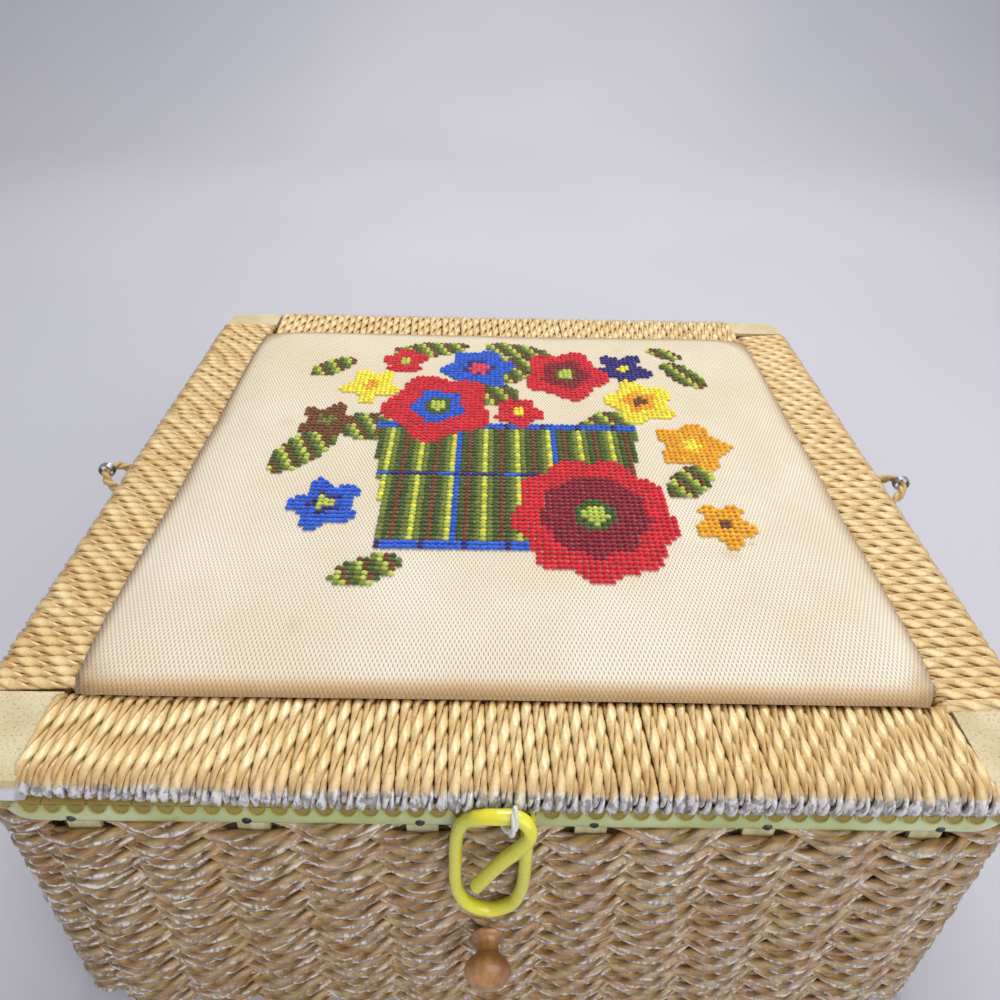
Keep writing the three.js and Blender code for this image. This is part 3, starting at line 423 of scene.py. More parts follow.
def cloth_material():
    """Fine cellular cloth: staggered slits between raised cells with painted shade in them, soiling and
    painted shade along the front side, and painted shade low on the pad's sides.
    """
    cell_x, cell_y = 1.45 * MM, 1.3 * MM
    n = Nodes("panel_cloth", roughness=0.9, sheen=0.15, specular=0.2)
    x, y, z = n.axes()
    row = n.math("FLOOR", n.math("DIVIDE", y, cell_y))
    shifted = n.plus(n.math("DIVIDE", x, cell_x), n.times(row, 0.5))
    across = n.math("ABSOLUTE", n.minus(n.math("FRACT", shifted), 0.5))
    along = n.math("ABSOLUTE", n.minus(n.math("FRACT", n.math("DIVIDE", y, cell_y)), 0.5))
    slit = n.times(n.ramp(across, 0.0, 0.24, 1.0, 0.0), n.ramp(along, 0.26, 0.5, 1.0, 0.0))
    height = n.minus(1.0, n.plus(slit, n.ramp(along, 0.3, 0.5, 0.0, 0.35)))
    weave = n.plus(height, n.times(n.noise(3200, 2.0), 0.3))
    cream = n.mix(n.patches(22), (235, 226, 205), (228, 214, 188))
    cream = n.mix(n.ramp(y, -60 * MM, 105 * MM, 0.0, 0.4), cream, (222, 206, 170))
    # Painted shade: the slits between raised cells are darkened to brown.
    cream = n.mix(n.times(slit, 0.58), cream, (140, 112, 74))
    # Soiling and painted shade: a brown band along the front side that fades towards the back.
    soil_and_shade = n.times(n.ramp(y, -104.2 * MM, -99.4 * MM, 1.0, 0.0), n.ramp(n.noise(60, 3.0), 0.2, 0.6, 0.7, 1.0))
    cream = n.mix(n.times(soil_and_shade, 0.8), cream, (200, 160, 108))
    # Painted shade: darker brown low on the pad's sides, where they turn down to the frame.
    low = n.ramp(z, (LID_TOP + 0.2) * MM, (LID_TOP + 2.4) * MM, 0.7, 0.0)
    cream = n.mix(low, cream, (178, 144, 94))
    for spot_x, spot_y, size, share in SPOTS:
        away = n.math("SQRT", n.plus(n.math("POWER", n.minus(x, spot_x * MM), 2.0),
                                     n.math("POWER", n.minus(y, spot_y * MM), 2.0)))
        wavy = n.plus(away, n.times(n.minus(n.noise(240, 2.0), 0.5), 0.004))
        cream = n.mix(n.ramp(wavy, 0.0, size * MM, share, 0.0), cream, (190, 156, 110))
    return n.finish(cream, n.bump(weave, 0.00032, 0.8))


CLOTH = cloth_material()


def vinyl_material(name, base, pale, dark, coat, subsurface=0.0):
    """Soft glossy vinyl with faint clouds, worn specks and shallow dents."""
    n = Nodes(name, roughness=0.2, coat=coat, coat_roughness=0.12, subsurface=subsurface)
    tone = n.mix(n.patches(38), base, pale)
    tone = n.mix(n.ramp(n.noise(320, 4.0), 0.56, 0.8, 0.0, 0.35), tone, dark)
    return n.finish(tone, n.bump(n.noise(70, 2.0), 0.0008, 0.5), n.patches(90, 2.0, 0.12, 0.32))


STRIP = vinyl_material("rim_vinyl", (166, 174, 88), (192, 202, 142), (128, 124, 58), coat=1.0)
TUBE = vinyl_material("closure_vinyl", (232, 222, 34), (218, 214, 62), (186, 170, 30), coat=0.8,
                      subsurface=0.15)


def corner_material():
    """Speckled board, with a grey painted reflection round the lid's lower half."""
    n = Nodes("corner_board", roughness=0.7, specular=0.35)
    tone = n.mix(n.patches(60, 4.0), (214, 201, 166), (196, 181, 140))
    specks = n.noise(1300, 3.0)
    tone = n.mix(n.ramp(specks, 0.5, 0.7, 0.0, 0.6), tone, (158, 132, 90))
    _, _, z = n.axes()
    # Painted reflection: grey below the lid's middle, like the wrap's painted reflection.
    painted_reflection = n.ramp(z, (LID_MID + 2.2) * MM, (LID_MID + 3.4) * MM, 0.85, 0.0)
    tone = n.mix(painted_reflection, tone, (204, 203, 212))
    return n.finish(tone, n.bump(specks, 0.00025, 0.5))


CORNER = corner_material()


def metal_material(name, base, dark, roughness=0.35):
    """Metal with dull patches and a fine brushed grain."""
    n = Nodes(name, roughness=roughness, metallic=1.0)
    tone = n.mix(n.ramp(n.noise(240, 3.0), 0.35, 0.75), base, dark)
    brush = n.noise(1.0, 2.0, n.scaled(200, 200, 4000))
    gloss = n.patches(160, 2.0, roughness - 0.08, roughness + 0.15)
    return n.finish(tone, n.bump(brush, 0.0001, 0.3), gloss)


STEEL = metal_material("hinge_steel", (196, 186, 160), (140, 126, 98))
TACK = metal_material("tack_steel", (92, 92, 96), (50, 50, 54), 0.45)
CLIP = metal_material("clip_steel", (190, 190, 192), (132, 132, 136), 0.3)


def fabric_material(name, base, pale, dark, pitch, roughness, sheen=0.3):
    """Plain woven fabric with threads at a pitch in millimetres."""
    n = Nodes(name, roughness=roughness, sheen=sheen, specular=0.35)
    x, y, z = n.axes()
    wave = 2 * math.pi / (pitch * MM)
    threads = n.times(n.math("SINE", n.times(n.plus(x, z), wave)),
                     n.math("SINE", n.times(n.plus(y, z), wave)))
    tone = n.mix(n.patches(30), base, pale)
    tone = n.mix(n.ramp(n.noise(1500, 2.0), 0.5, 0.8, 0.0, 0.4), tone, dark)
    return n.finish(tone, n.bump(threads, 0.0001, 0.3))


LINING = fabric_material("lining_satin", (230, 214, 170), (236, 222, 182), (196, 174, 124), 0.5, 0.42, 0.5)
LACE = fabric_material("lace_weave", (134, 112, 42), (154, 134, 58), (80, 62, 22), 0.9, 0.85)
LACE_EDGE = fabric_material("lace_edge", (158, 154, 70), (180, 176, 92), (112, 104, 38), 0.5, 0.7)
TETHER = fabric_material("tether_thread", (212, 210, 200), (226, 224, 214), (158, 152, 140), 0.5, 0.6)
CARD = fabric_material("panel_card", (168, 150, 116), (184, 166, 132), (130, 112, 80), 0.7, 0.9, 0.0)


def yarn_material(name, rgb):
    """Worsted wool: soft, with a ply's fine shadow lines and tone that drifts from stitch to stitch."""
    spread = 0.16
    n = Nodes(name, roughness=0.88, sheen=0.35, specular=0.2)
    dark = tuple(max(0, c * (1 - 2.2 * spread)) for c in rgb)
    pale = tuple(min(255, c * (1 + spread) + 10) for c in rgb)
    tone = n.mix(n.patches(420), rgb, pale)
    fibre = n.noise(2400, 3.0, roughness=0.7)
    tone = n.mix(n.ramp(fibre, 0.48, 0.72, 0.0, 0.75), tone, dark)
    return n.finish(tone, n.bump(fibre, 0.0003, 0.7))


# ---- Closure tube and its tether ----

def closure_place(point):
    """A place given from the lid's front edge: across, out of it and above it."""
    across, out, high = point
    return [across, -LID_HALF_DEPTH - out, LID_TOP + high]


tube_line = spline([closure_place(p) for p in CLOSURE_ROUTE], 170)
closure = make_mesh("closure_tube", tube_piece(tube_line, TUBE_RADIUS, 20), TUBE, "closure", ["closure_loop"])


def tether():
    """Thread that comes down over the tube and hooks back under it to the left."""
    reach = 3.45
    middle = np.array(closure_place(TETHER_PLACE))
    angles = np.pi * np.linspace(0.42, 1.7, 60)
    hook = 4.2 * np.clip((angles / np.pi - 0.9) / 0.8, 0, 1) ** 1.3
    line = middle + np.stack([0.4 - hook, reach * np.cos(angles), reach * np.sin(angles)], axis=-1)
    thread = two_ply(line, line - middle, 14.0, 0.62, 0.45, sides=10)
    make_mesh("tether_twist", thread, TETHER, "lid", ["closure_tether"])


tether()


# ---- Cord wrap of the lid's rails ----

WRAP_CORD, WRAP_HALF_HEIGHT = 1.82, 6.25
RAIL_INSET = 3.8  # from the opening's edge to the line that a rail's section is measured from
CROSS_EDGE, SIDE_EDGE = OPENING_Y + RAIL_INSET, OPENING_X + RAIL_INSET


def rail_section(width):
    """Closed line of the cord's middle round a rail: x across the rail, z up, with outward normals."""
    low_x, high_x = -RAIL_INSET + WRAP_CORD, width - RAIL_INSET - WRAP_CORD
    high_z = WRAP_HALF_HEIGHT - WRAP_CORD
    outer, heel, inner = high_z - 0.2, 3.9, 1.7
    line, normals = [], []
    for centre_x, centre_z, radius, start in (
        (high_x - outer, high_z - outer, outer, 90), (high_x - heel, heel - high_z, heel, 0),
        (low_x + inner, inner - high_z, inner, -90), (low_x + inner, high_z - inner, inner, -180),
    ):
        for step in range(9):
            angle = math.radians(start - 90 * step / 8)
            line.append([centre_x + radius * math.cos(angle), 0, centre_z + radius * math.sin(angle)])
            normals.append([math.cos(angle), 0, math.sin(angle)])
    return np.array(line + line[:1]), np.array(normals + normals[:1])


def wrap_rail(name, width, length, turns, heading, edge, seed, shift=0.0, fan=0.0, flare=0.0,
              recede=(0.0, 0.0)):
    """Cord wound round one rail, which lies edge away from the middle towards heading.

    shift and fan move it to the back and its inner side forward, flare and recede spread its outer
    side and draw it back to the left and right.
    """
    start_share, step_length, almond_length = 0.62, 1.25, 9.6
    section, section_normals = rail_section(width)
    reach = distances(section)
    perimeter = reach[-1]
    start = perimeter * start_share
    steps = int(turns * perimeter / step_length)
    travel = np.linspace(start, start + (turns - 0.3) * perimeter, steps)
    centres = points_at(travel % perimeter, reach, section)
    normals = points_at(travel % perimeter, reach, section_normals)
    pitch = (length - 2 * WRAP_CORD) / (turns - 1)
    centres[:, 1] = -length / 2 + WRAP_CORD + ((travel - start) / perimeter - start_share) * pitch
    rng = np.random.default_rng(seed)
    knots = np.arange(turns + 3)
    jitter = rng.normal(0, 0.2, turns + 3)
    lift = rng.uniform(-0.12, 0.2, turns + 3)
    place = np.linspace(0, turns + 1, steps)
    centres[:, 1] += np.interp(place, knots, jitter)
    centres += normals * (np.interp(place, knots, lift) - 0.12)[:, None]
    c, s = math.cos(heading), math.sin(heading)
    turn = np.array([[c, s, 0], [-s, c, 0], [0, 0, 1]])
    turned = centres @ turn + np.array([edge * c, edge * s + shift, LID_MID])
    inward = 1 - np.clip((np.abs(turned[:, 0]) - OPENING_X) / SIDE_RAIL, 0, 1)
    turned[:, 1] -= fan * inward**1.3 * smooth_step(np.clip((turned[:, 1] - 70) / 45, 0, 1))
    outer = np.clip((np.abs(centres[:, 0]) + RAIL_INSET) / width, 0, 1)
    turned[:, 0] *= 1 + flare * outer
    for side, most in zip((-1, 1), recede):
        near_end = np.clip((side * turned[:, 0] - 10) / 130, 0, 1)
        turned[:, 1] += most * outer**2 * near_end**2
    almond = perimeter / (round(perimeter / almond_length - 0.5) + 0.47)
    cord = two_ply(turned, normals @ turn, 2 * almond, 1.0, 0.94, sides=10, sign=1, side_ease=0.96,
                   thick=0.92, broad=1.72, phase=0.9 * smooth_noise(steps, turns // 3, seed + 1),
                   swell=1 + 0.05 * smooth_noise(steps, turns * 3, seed + 2))
    make_mesh(name + "_cords", cord, WRAP, "lid", [name])


wrap_rail("winding_front", CROSS_RAIL, 271.2, 75, -math.pi / 2, CROSS_EDGE, 11, flare=0.012,
          recede=(3.6, 0.8))
wrap_rail("winding_right", SIDE_RAIL, 221.6, 62, 0.0, SIDE_EDGE, 23, shift=6.2, fan=3.2)
wrap_rail("winding_back", CROSS_RAIL, 262.4, 73, math.pi / 2, CROSS_EDGE, 37)
wrap_rail("winding_left", SIDE_RAIL, 221.6, 62, math.pi, SIDE_EDGE, 41, shift=6.2, fan=3.2)


# ---- Woven body ----

def outline(count):
    """Points and outward normals spaced evenly round the stakes' middle line, the stake number at each
    and the line's length."""
    straight_x, straight_y = STAKE_X - STAKE_CORNER, STAKE_Y - STAKE_CORNER
    arc = STAKE_CORNER * math.pi / 2
    lengths = [2 * straight_x, arc, 2 * straight_y, arc] * 2
    total = sum(lengths)
    at = np.linspace(0, total, count, endpoint=False)
    points, normals = np.zeros((count, 2)), np.zeros((count, 2))
    corners = np.array([[1, -1], [1, 1], [-1, 1], [-1, -1]]) * (straight_x, straight_y)
    for k, place in enumerate(at):
        left, index = place, 0
        while left > lengths[index]:
            left -= lengths[index]
            index += 1
        side, in_arc = divmod(index, 2)
        heading = (side - 1) * math.pi / 2
        if in_arc:
            heading += left / STAKE_CORNER
        out = np.array([math.cos(heading), math.sin(heading)])
        if in_arc:
            points[k] = corners[side] + STAKE_CORNER * out
        else:
            across = STAKE_X if side % 2 else STAKE_Y
            points[k] = out * across + np.array([-out[1], out[0]]) * (left - lengths[index] / 2)
        normals[k] = out
    shifted = (at + arc / 2) % total
    stake = np.zeros(count)
    base, first = 0.0, 0
    for span, number in ((2 * straight_x + arc, STAKES_LONG), (2 * straight_y + arc, STAKES_SHORT)) * 2:
        inside = (shifted >= base) & (shifted < base + span)
        stake[inside] = first + (shifted[inside] - base) / span * number
        base += span
        first += number
    return points, normals, stake, total


def at_hinge(flat, spare=0):
    """Whether places on the outline lie behind a hinge leaf."""
    across = np.abs(flat[..., 0])
    return (flat[..., 1] > BACK_Y) & (HINGE_NEAR + spare < across) & (across < HINGE_FAR - spare)


def woven_body():
    """Rows of two cords each, which pass over one stake and under the next and part over it."""
    count, seam, twist_length = 480, 12, 23.0
    reach, spread, sag, foot = 2.5, 1.55, 1.3, 2.5
    flat, normals, stake, total = outline(count)
    outward = np.column_stack([normals, np.zeros(count)])
    outward = np.vstack([outward, outward[:1]])
    turns = round(total / twist_length)
    parts = []
    for row in range(WALL_ROWS):
        middle = WALL_TOP - (row + 0.5) * ROW_PITCH
        wave = np.cos((stake + row) * math.pi)
        over = np.clip(wave, 0, 1) ** 0.8
        for strand, lift in enumerate((1.0, -1.0)):
            seed = 100 + row * 2 + strand
            wobble = 0.3 * smooth_noise(count, 40, seed)
            wobble[-seam:] = np.linspace(wobble[-seam], wobble[0], seam)
            grow = 0.5 + reach * wave + 0.15 * wobble + 0.25 * strand * over
            height = middle + lift * (spread + 1.15 * over) - sag * wave + wobble
            height = np.maximum(height, foot + 0.9 * (lift > 0))
            centres = np.column_stack([flat + grow[:, None] * normals, height])
            centres = np.vstack([centres, centres[:1]])
            parts.append(two_ply(centres, outward, line_length(centres) / turns, 0.98, 0.92, sides=8,
                                 phase=seed * 1.7, swell=0.8 + 0.5 * np.append(over, over[0]),
                                 thick=0.95, broad=1.6))
    make_mesh("woven_cords", join(parts), WEAVE, "basket", ["woven_wall"])


woven_body()


# ---- Padded panel with its cloth ----

def rounded_rectangle(half_x, half_y, radius, count):
    """Even points round a rounded rectangle."""
    dense = []
    for sign_x, sign_y, start in ((1, -1, -90), (1, 1, 0), (-1, 1, 90), (-1, -1, 180)):
        for step in range(9):
            angle = math.radians(start + 90 * step / 8)
            dense.append([sign_x * (half_x - radius) + radius * math.cos(angle),
                          sign_y * (half_y - radius) + radius * math.sin(angle), 0])
    return resample(np.array(dense), count, closed=True)


def crown(x, y, half_x, half_y):
    """Share of a pad's rise at a place: 1 in the middle and 0 at its sides."""
    return np.maximum(1 - np.abs(x / half_x) ** 3.0, 0) * np.maximum(1 - np.abs(y / half_y) ** 3.0, 0)


PAD_X, PAD_Y = OPENING_X - 0.3, OPENING_Y - 0.3


def panel_shell():
    """Closed cushion: underside, drawn-in sides and a rounded, crowned top."""
    count, radius, rise = 160, 5.0, 1.9
    bottom, edge = LID_MID + 1.9, LID_TOP + 1.9
    profile = [(0.002, 1, bottom), (0.5, 1, bottom), (1, 2.2, bottom), (1, 1.6, bottom + 1.6),
               (1, 0.7, LID_TOP - 1.2), (1, 0.6, edge - 1.6), (1, 1.1, edge - 0.6), (1, 2.4, edge + 0.1)]
    profile += [(share, 4.6, edge + 0.3) for share in (1, 0.95, 0.88, 0.78, 0.65, 0.5, 0.34, 0.18, 0.002)]
    rings = []
    for share, inset, height in profile:
        ring = rounded_rectangle(PAD_X - inset, PAD_Y - inset, radius, count)
        ring[:, :2] *= share
        crowned = rise * crown(ring[:, 0], ring[:, 1], PAD_X - 4, PAD_Y - 4) if height > LID_TOP else 0
        ring[:, 2] = height + crowned
        rings.append(ring)
    return loft(rings)


def simulate(piece):
    """Cloth pressure over a remeshed copy of a closed shell, with each point's travel capped."""
    voxel, pressure, stiffness, frames, cap = 4.0 * MM, 3.0, 15.0, 20, 1.6 * MM
    refine(piece, "REMESH", mode="VOXEL", voxel_size=voxel, use_smooth_shade=True)
    before = positions(piece)
    cloth = piece.modifiers.new("cloth", "CLOTH")
    cloth.settings.use_pressure = True
    cloth.settings.uniform_pressure_force = pressure
    cloth.settings.tension_stiffness = cloth.settings.compression_stiffness = stiffness
    cloth.settings.effector_weights.gravity = 0
    cloth.collision_settings.use_self_collision = False
    scene = bpy.context.scene
    for number in range(1, frames + 1):
        scene.frame_set(number)
    apply_modifiers(piece)
    move = positions(piece) - before
    scene.frame_set(1)
    far = np.linalg.norm(move, axis=1, keepdims=True)
    after = before + move * np.minimum(1, cap / np.maximum(far, 1e-9))
    piece.data.vertices.foreach_set("co", after.ravel())
    piece.data.update()


def apply_modifiers(piece):
    """Replaces a piece's mesh by the one that its modifiers make."""
    graph = bpy.context.evaluated_depsgraph_get()
    graph.update()
    made = bpy.data.meshes.new_from_object(piece.evaluated_get(graph))
    old = piece.data
    piece.modifiers.clear()
    piece.data = made
    bpy.data.meshes.remove(old)


def refine(piece, kind, **settings):
    """Adds one modifier to a piece and applies it."""
    modifier = piece.modifiers.new(kind.lower(), kind)
    for key, value in settings.items():
        setattr(modifier, key, value)
    apply_modifiers(piece)


def positions(piece, key="co"):
    """A piece's points in metres, or their normals."""
    flat = np.zeros(len(piece.data.vertices) * 3)
    piece.data.vertices.foreach_get(key, flat)
    return flat.reshape(-1, 3)


panel = make_mesh("panel_cloth", panel_shell(), CLOTH, "lid", ["needlework_cover", "foam_pad"])
simulate(panel)

SIDE_HEIGHTS = [-4.2, -2, -0.8, 0, 1, 2, 2.8]
SIDE_INSETS = [0.8, -0.5, -1.8, -3, -3.2, -2.5, -0.8]


def settle_panel():
    """Sets the pad's sides over the cords that hold them, by their inset at each height above the lid."""
    radius = 3.0
    place = positions(panel) / MM
    normals = positions(panel, "normal")
    beyond = np.abs(place[:, :2]) - np.array([PAD_X - radius, PAD_Y - radius])
    corner = np.maximum(beyond, 0)
    away = np.linalg.norm(corner, axis=1) + np.minimum(beyond.max(axis=1), 0) - radius
    along = np.where((corner > 0).all(axis=1)[:, None], corner, np.eye(2)[beyond.argmax(axis=1)])
    along = unit(along) * np.sign(place[:, :2])
    inset = np.interp(place[:, 2] - LID_TOP, SIDE_HEIGHTS, SIDE_INSETS)
    side = np.clip((np.linalg.norm(normals[:, :2], axis=1) - 0.3) / 0.45, 0, 1)
    side = np.where(away > -9, side, 0)
    place[:, :2] += along * (np.clip(-inset - away, -2, 6) * side)[:, None]
    place[:, 2] = np.clip(place[:, 2], LID_MID + 1.6, LID_TOP + 4.7)
    panel.data.vertices.foreach_set("co", (place * MM).ravel())
    panel.data.update()


refine(panel, "SMOOTH", factor=0.5, iterations=4)
settle_panel()
refine(panel, "SUBSURF", levels=1, render_levels=1)
refine(panel, "SMOOTH", factor=0.5, iterations=2)
settle_panel()
panel.data.shade_smooth()
panel.data.materials.clear()
panel.data.materials.append(CLOTH)
panel_tree = BVHTree.FromPolygons([v.co.copy() for v in panel.data.vertices],
                                  [tuple(p.vertices) for p in panel.data.polygons])


def panel_height(x, y):
    """Height of the cloth over a place on the panel."""
    hit = panel_tree.ray_cast(Vector((x * MM, y * MM, 0.2)), Vector((0, 0, -1)))[0]
    return hit.z / MM if hit is not None else LID_TOP + 1


# ---- Needlework: a generic posy over a striped basket ----

YARNS = {
    "dark_green": (62, 82, 30), "olive": (106, 118, 40), "light_green": (176, 190, 74), "red": (196, 24, 40),
    "crimson": (128, 16, 36), "blue": (30, 84, 190), "navy": (44, 34, 108), "yellow": (244, 214, 56),
    "orange": (232, 158, 26), "brown": (108, 62, 28), "rose": (206, 60, 84),
}
STITCH_X, STITCH_Y = 2.3, 2.05
STITCH_COLUMNS, STITCH_ROWS = 48, 46
# Middle, radius, petals, depth between them, turn, and each band's yarn with its outer limit
FLOWERS = (
    ((34, -34), 33, 9, 0.1, 0.2,
     (("light_green", 0.16), ("dark_green", 0.26), ("crimson", 0.66), ("red", 1))),
    ((-32, 34), 27, 5, 0.2, 0.5, (("light_green", 0.16), ("dark_green", 0.26), ("blue", 0.5), ("red", 1))),
    ((30, 62), 22, 5, 0.22, 0.1, (("light_green", 0.2), ("brown", 0.34), ("crimson", 0.6), ("red", 1))),
    ((-14, 66), 19, 6, 0.24, 0.9, (("rose", 0.3), ("navy", 0.42), ("blue", 1))),
    ((64, 40), 18, 5, 0.3, 0.7, (("brown", 0.22), ("orange", 0.5), ("yellow", 1))),
    ((82, 8), 17, 5, 0.3, 0.0, (("yellow", 0.3), ("orange", 1))),
    ((60, 68), 15, 5, 0.42, 0.3, (("yellow", 0.24), ("navy", 1))),
    ((-66, 50), 15, 5, 0.4, 0.4, (("orange", 0.3), ("yellow", 1))),
    ((-82, 22), 14, 5, 0.42, 0.0, (("olive", 0.3), ("brown", 1))),
    ((-52, 72), 12, 5, 0.3, 0.9, (("light_green", 0.3), ("red", 1))),
    ((6, 30), 12, 5, 0.3, 0.2, (("yellow", 0.3), ("red", 1))),
    ((-72, -30), 15, 5, 0.34, 0.6, (("light_green", 0.26), ("navy", 0.44), ("blue", 1))),
    ((84, -38), 12, 5, 0.34, 0.3, (("brown", 0.26), ("orange", 1))),
)
# Middle, half length, half width and lean
LEAVES = (
    (-88, 2, 17, 9, 0.9), (-40, 84, 20, 7, 0.2), (6, 84, 18, 7, -0.3), (90, 64, 13, 7, -0.9),
    (-88, 66, 12, 6, 0.6), (46, 22, 15, 9, 0.5), (-8, 46, 15, 10, -0.4), (84, 84, 9, 5, -0.5),
    (-62, 18, 16, 9, -0.2), (-50, -62, 13, 6, 0.4), (76, -14, 13, 7, 0.8), (2, 66, 12, 10, 1.2),
)
LEAF_YARNS = ("dark_green", "olive", "light_green", "brown")
STRIPE_YARNS = ("dark_green", "olive", "light_green", "olive", "dark_green", "brown")


def petals(x, y, centre, radius, count, depth, turned):
    """Distance share inside a petalled round: under 1 is inside."""
    dx, dy = x - centre[0], y - centre[1]
    angle = math.atan2(dy, dx) + turned
    return math.hypot(dx, dy) / (radius * (1 - depth * (0.5 - 0.5 * math.cos(count * angle))))


def basket_yarn(y, column, row):
    """Yarn of the striped basket: bands at its top, middle and bottom, and stripes between them."""
    if y > 17 or y < -48:
        return "blue" if column % 7 else "navy"
    if abs(y + 12) < 1.6:
        return "navy" if (column // 3) % 4 else "blue"
    if column % 18 == 9:
        return "blue"
    stripe = STRIPE_YARNS[column % 6]
    return "yellow" if stripe == "light_green" and row % 3 == 0 else stripe


def stitch_yarn(x, y, column, row):
    """Name of the yarn at a place on the panel, or None."""
    for *flower, bands in FLOWERS:
        inside = petals(x, y, *flower)
        for name, limit in bands:
            if inside < limit:
                return name
    half = 58 + (y + 20) * 0.18 - 6 * math.cos(max(0, -y - 34) / 18)
    if -52 <= y <= 22 and abs(x) <= half:
        return basket_yarn(y, column, row)
    for middle_x, middle_y, long, short, lean in LEAVES:
        dx, dy = x - middle_x, y - middle_y
        a = (dx * math.cos(lean) + dy * math.sin(lean)) / long
        b = (-dx * math.sin(lean) + dy * math.cos(lean)) / short
        if a * a + b * b < 1:
            return LEAF_YARNS[(column + row // 2) % 4]
    return None


def needlework():
    """One bowed grain of wool for each stitch, set on the cloth under it."""
    sides, max_x, max_y = 6, 106, 96
    rng = np.random.default_rng(7)
    angle = round_angles(sides)
    ring_size = np.array([0.35, 0.86, 1.0, 0.86, 0.35])
    latitude = np.linspace(-1, 1, len(ring_size))
    quads = grid_faces(len(ring_size), sides)
    names = list(YARNS)
    parts = []
    for row in range(-STITCH_ROWS, STITCH_ROWS + 1):
        for column in range(-STITCH_COLUMNS, STITCH_COLUMNS + 1):
            x = column * STITCH_X + rng.uniform(-0.12, 0.12)
            y = row * STITCH_Y + rng.uniform(-0.1, 0.1)
            name = stitch_yarn(x, y, column, row)
            if name is None or abs(x) > max_x or abs(y) > max_y:
                continue
            high = panel_height(x, y) + 0.15
            long, wide, tall = rng.uniform(1.3, 1.5), rng.uniform(0.98, 1.12), rng.uniform(0.85, 1.15)
            lean = rng.uniform(-0.14, 0.14)
            along = np.repeat(latitude[:, None] * long, sides, axis=1)
            across = np.cos(angle) * ring_size[:, None] * wide
            rise = np.sin(angle) * ring_size[:, None] * tall * 0.8
            bow = tall * 0.55 * (1 - latitude**2)
            grain = np.stack([along + x, across + y + lean * along, rise + bow[:, None] + high], axis=-1)
            parts.append((grain.reshape(-1, 3), quads, names.index(name)))
    yarns = [yarn_material("yarn_" + name, rgb) for name, rgb in YARNS.items()]
    make_mesh("needlework", join(parts), yarns, "lid")


needlework()


# ---- Rim: lace scallops and tacks ----

def scallops():
    """Scalloped trim: half rounds with a corded edge under a heading that folds over the rim."""
    pitch, samples, arch = 6.4, 4000, 13
    top, radius, lean = BODY_TOP - 0.9, 2.6, 0.3
    heading_profile = ((3.74, -0.1), (3.72, 0.5), (3.5, 1.05), (2.9, 1.28), (2.0, 1.3))
    flat, normals, _, total = outline(samples)
    count = int(total / pitch)
    angle = np.linspace(math.pi, 2 * math.pi, arch)
    rim = radius * np.column_stack([1.02 * np.cos(angle), np.sin(angle)])
    sides = np.linspace(-pitch / 2 - 0.1, pitch / 2 + 0.1, 5)
    parts = []
    for k in range(count):
        index = int(k * (samples / count)) % samples
        base, normal = flat[index], normals[index]
        ahead = np.array([-normal[1], normal[0]])
        if at_hinge(base, 2):
            continue

        def placed(shape, out):
            xy = base + normal * (out - lean * shape[:, 1:]) + shape[:, :1] * ahead
            return np.column_stack([xy, top + shape[:, 1]])

        rows = [placed(rim * share, 3.75 + 0.25 * (1 - share)) for share in (0.05, 0.4, 0.75, 1.0)]
        parts.append((*loft(rows, closed_sides=False), 0))
        parts.append((*tube_piece(placed(rim, 3.85), 0.3, 6), 1))
        heading = [[[*(base + normal * out + ahead * side), top + rise] for side in sides]
                   for out, rise in heading_profile]
        parts.append((*loft(heading, closed_sides=False), 0))
    make_mesh("lace_scallops", join(parts), [LACE, LACE_EDGE], "basket", ["lace_trim", "lace_trim_back"])


scallops()


def rim_band():
    """Glossy strip round the hoop, with a soft ripple, and lower behind the hinges."""
    count, low = 720, BODY_TOP - 11
    profile = [(1.15, 0.0), (2.5, 0.0), (3.1, 0.4), (3.45, 1.3), (3.6, 2.6), (3.6, 4.2), (3.45, 6.4),
               (3.2, 8.6), (2.8, 10.4), (2.3, 10.98), (1.15, 10.98)]
    flat, normals, _, _ = outline(count)
    hinge = at_hinge(flat)
    ripple = np.where(hinge, 0, 0.07 * smooth_noise(count, 60, 5))
    squeeze = np.where(hinge, 0.82, 1.0)
    rings = [np.column_stack([flat + (grow + ripple * (grow > 1.5))[:, None] * normals, low + rise * squeeze])
             for grow, rise in profile]
    make_mesh("rim_band", loft(rings, closed_rings=True), STRIP, "basket", ["rim_strip"])


rim_band()


def tacks():
    """A round-headed tack through the strip at every second stake."""
    profile = [(1.5, -0.2), (1.5, 0.15), (1.15, 0.5), (0.6, 0.7), (0.05, 0.75)]
    flat, normals, stake, _ = outline(2400)
    parts = []
    for number in range(1, 2 * (STAKES_LONG + STAKES_SHORT), 2):
        index = int(np.argmin(np.abs(stake - number)))
        base, normal = flat[index], normals[index]
        if not at_hinge(base):
            parts.append(lathe(profile, 14, [*normal, 0], [*(base + normal * 3.4), BODY_TOP - 8.5]))
    make_mesh("rim_tacks", join(parts), TACK, "basket")


tacks()


# ---- Linings ----

def quilt(u, v, pitch, depth):
    """Puffs between crossed seams."""
    a = np.abs(np.sin(math.pi * (u + v) / pitch))
    b = np.abs(np.sin(math.pi * (u - v) / pitch))
    return depth * (np.minimum(a, b) ** 0.45)


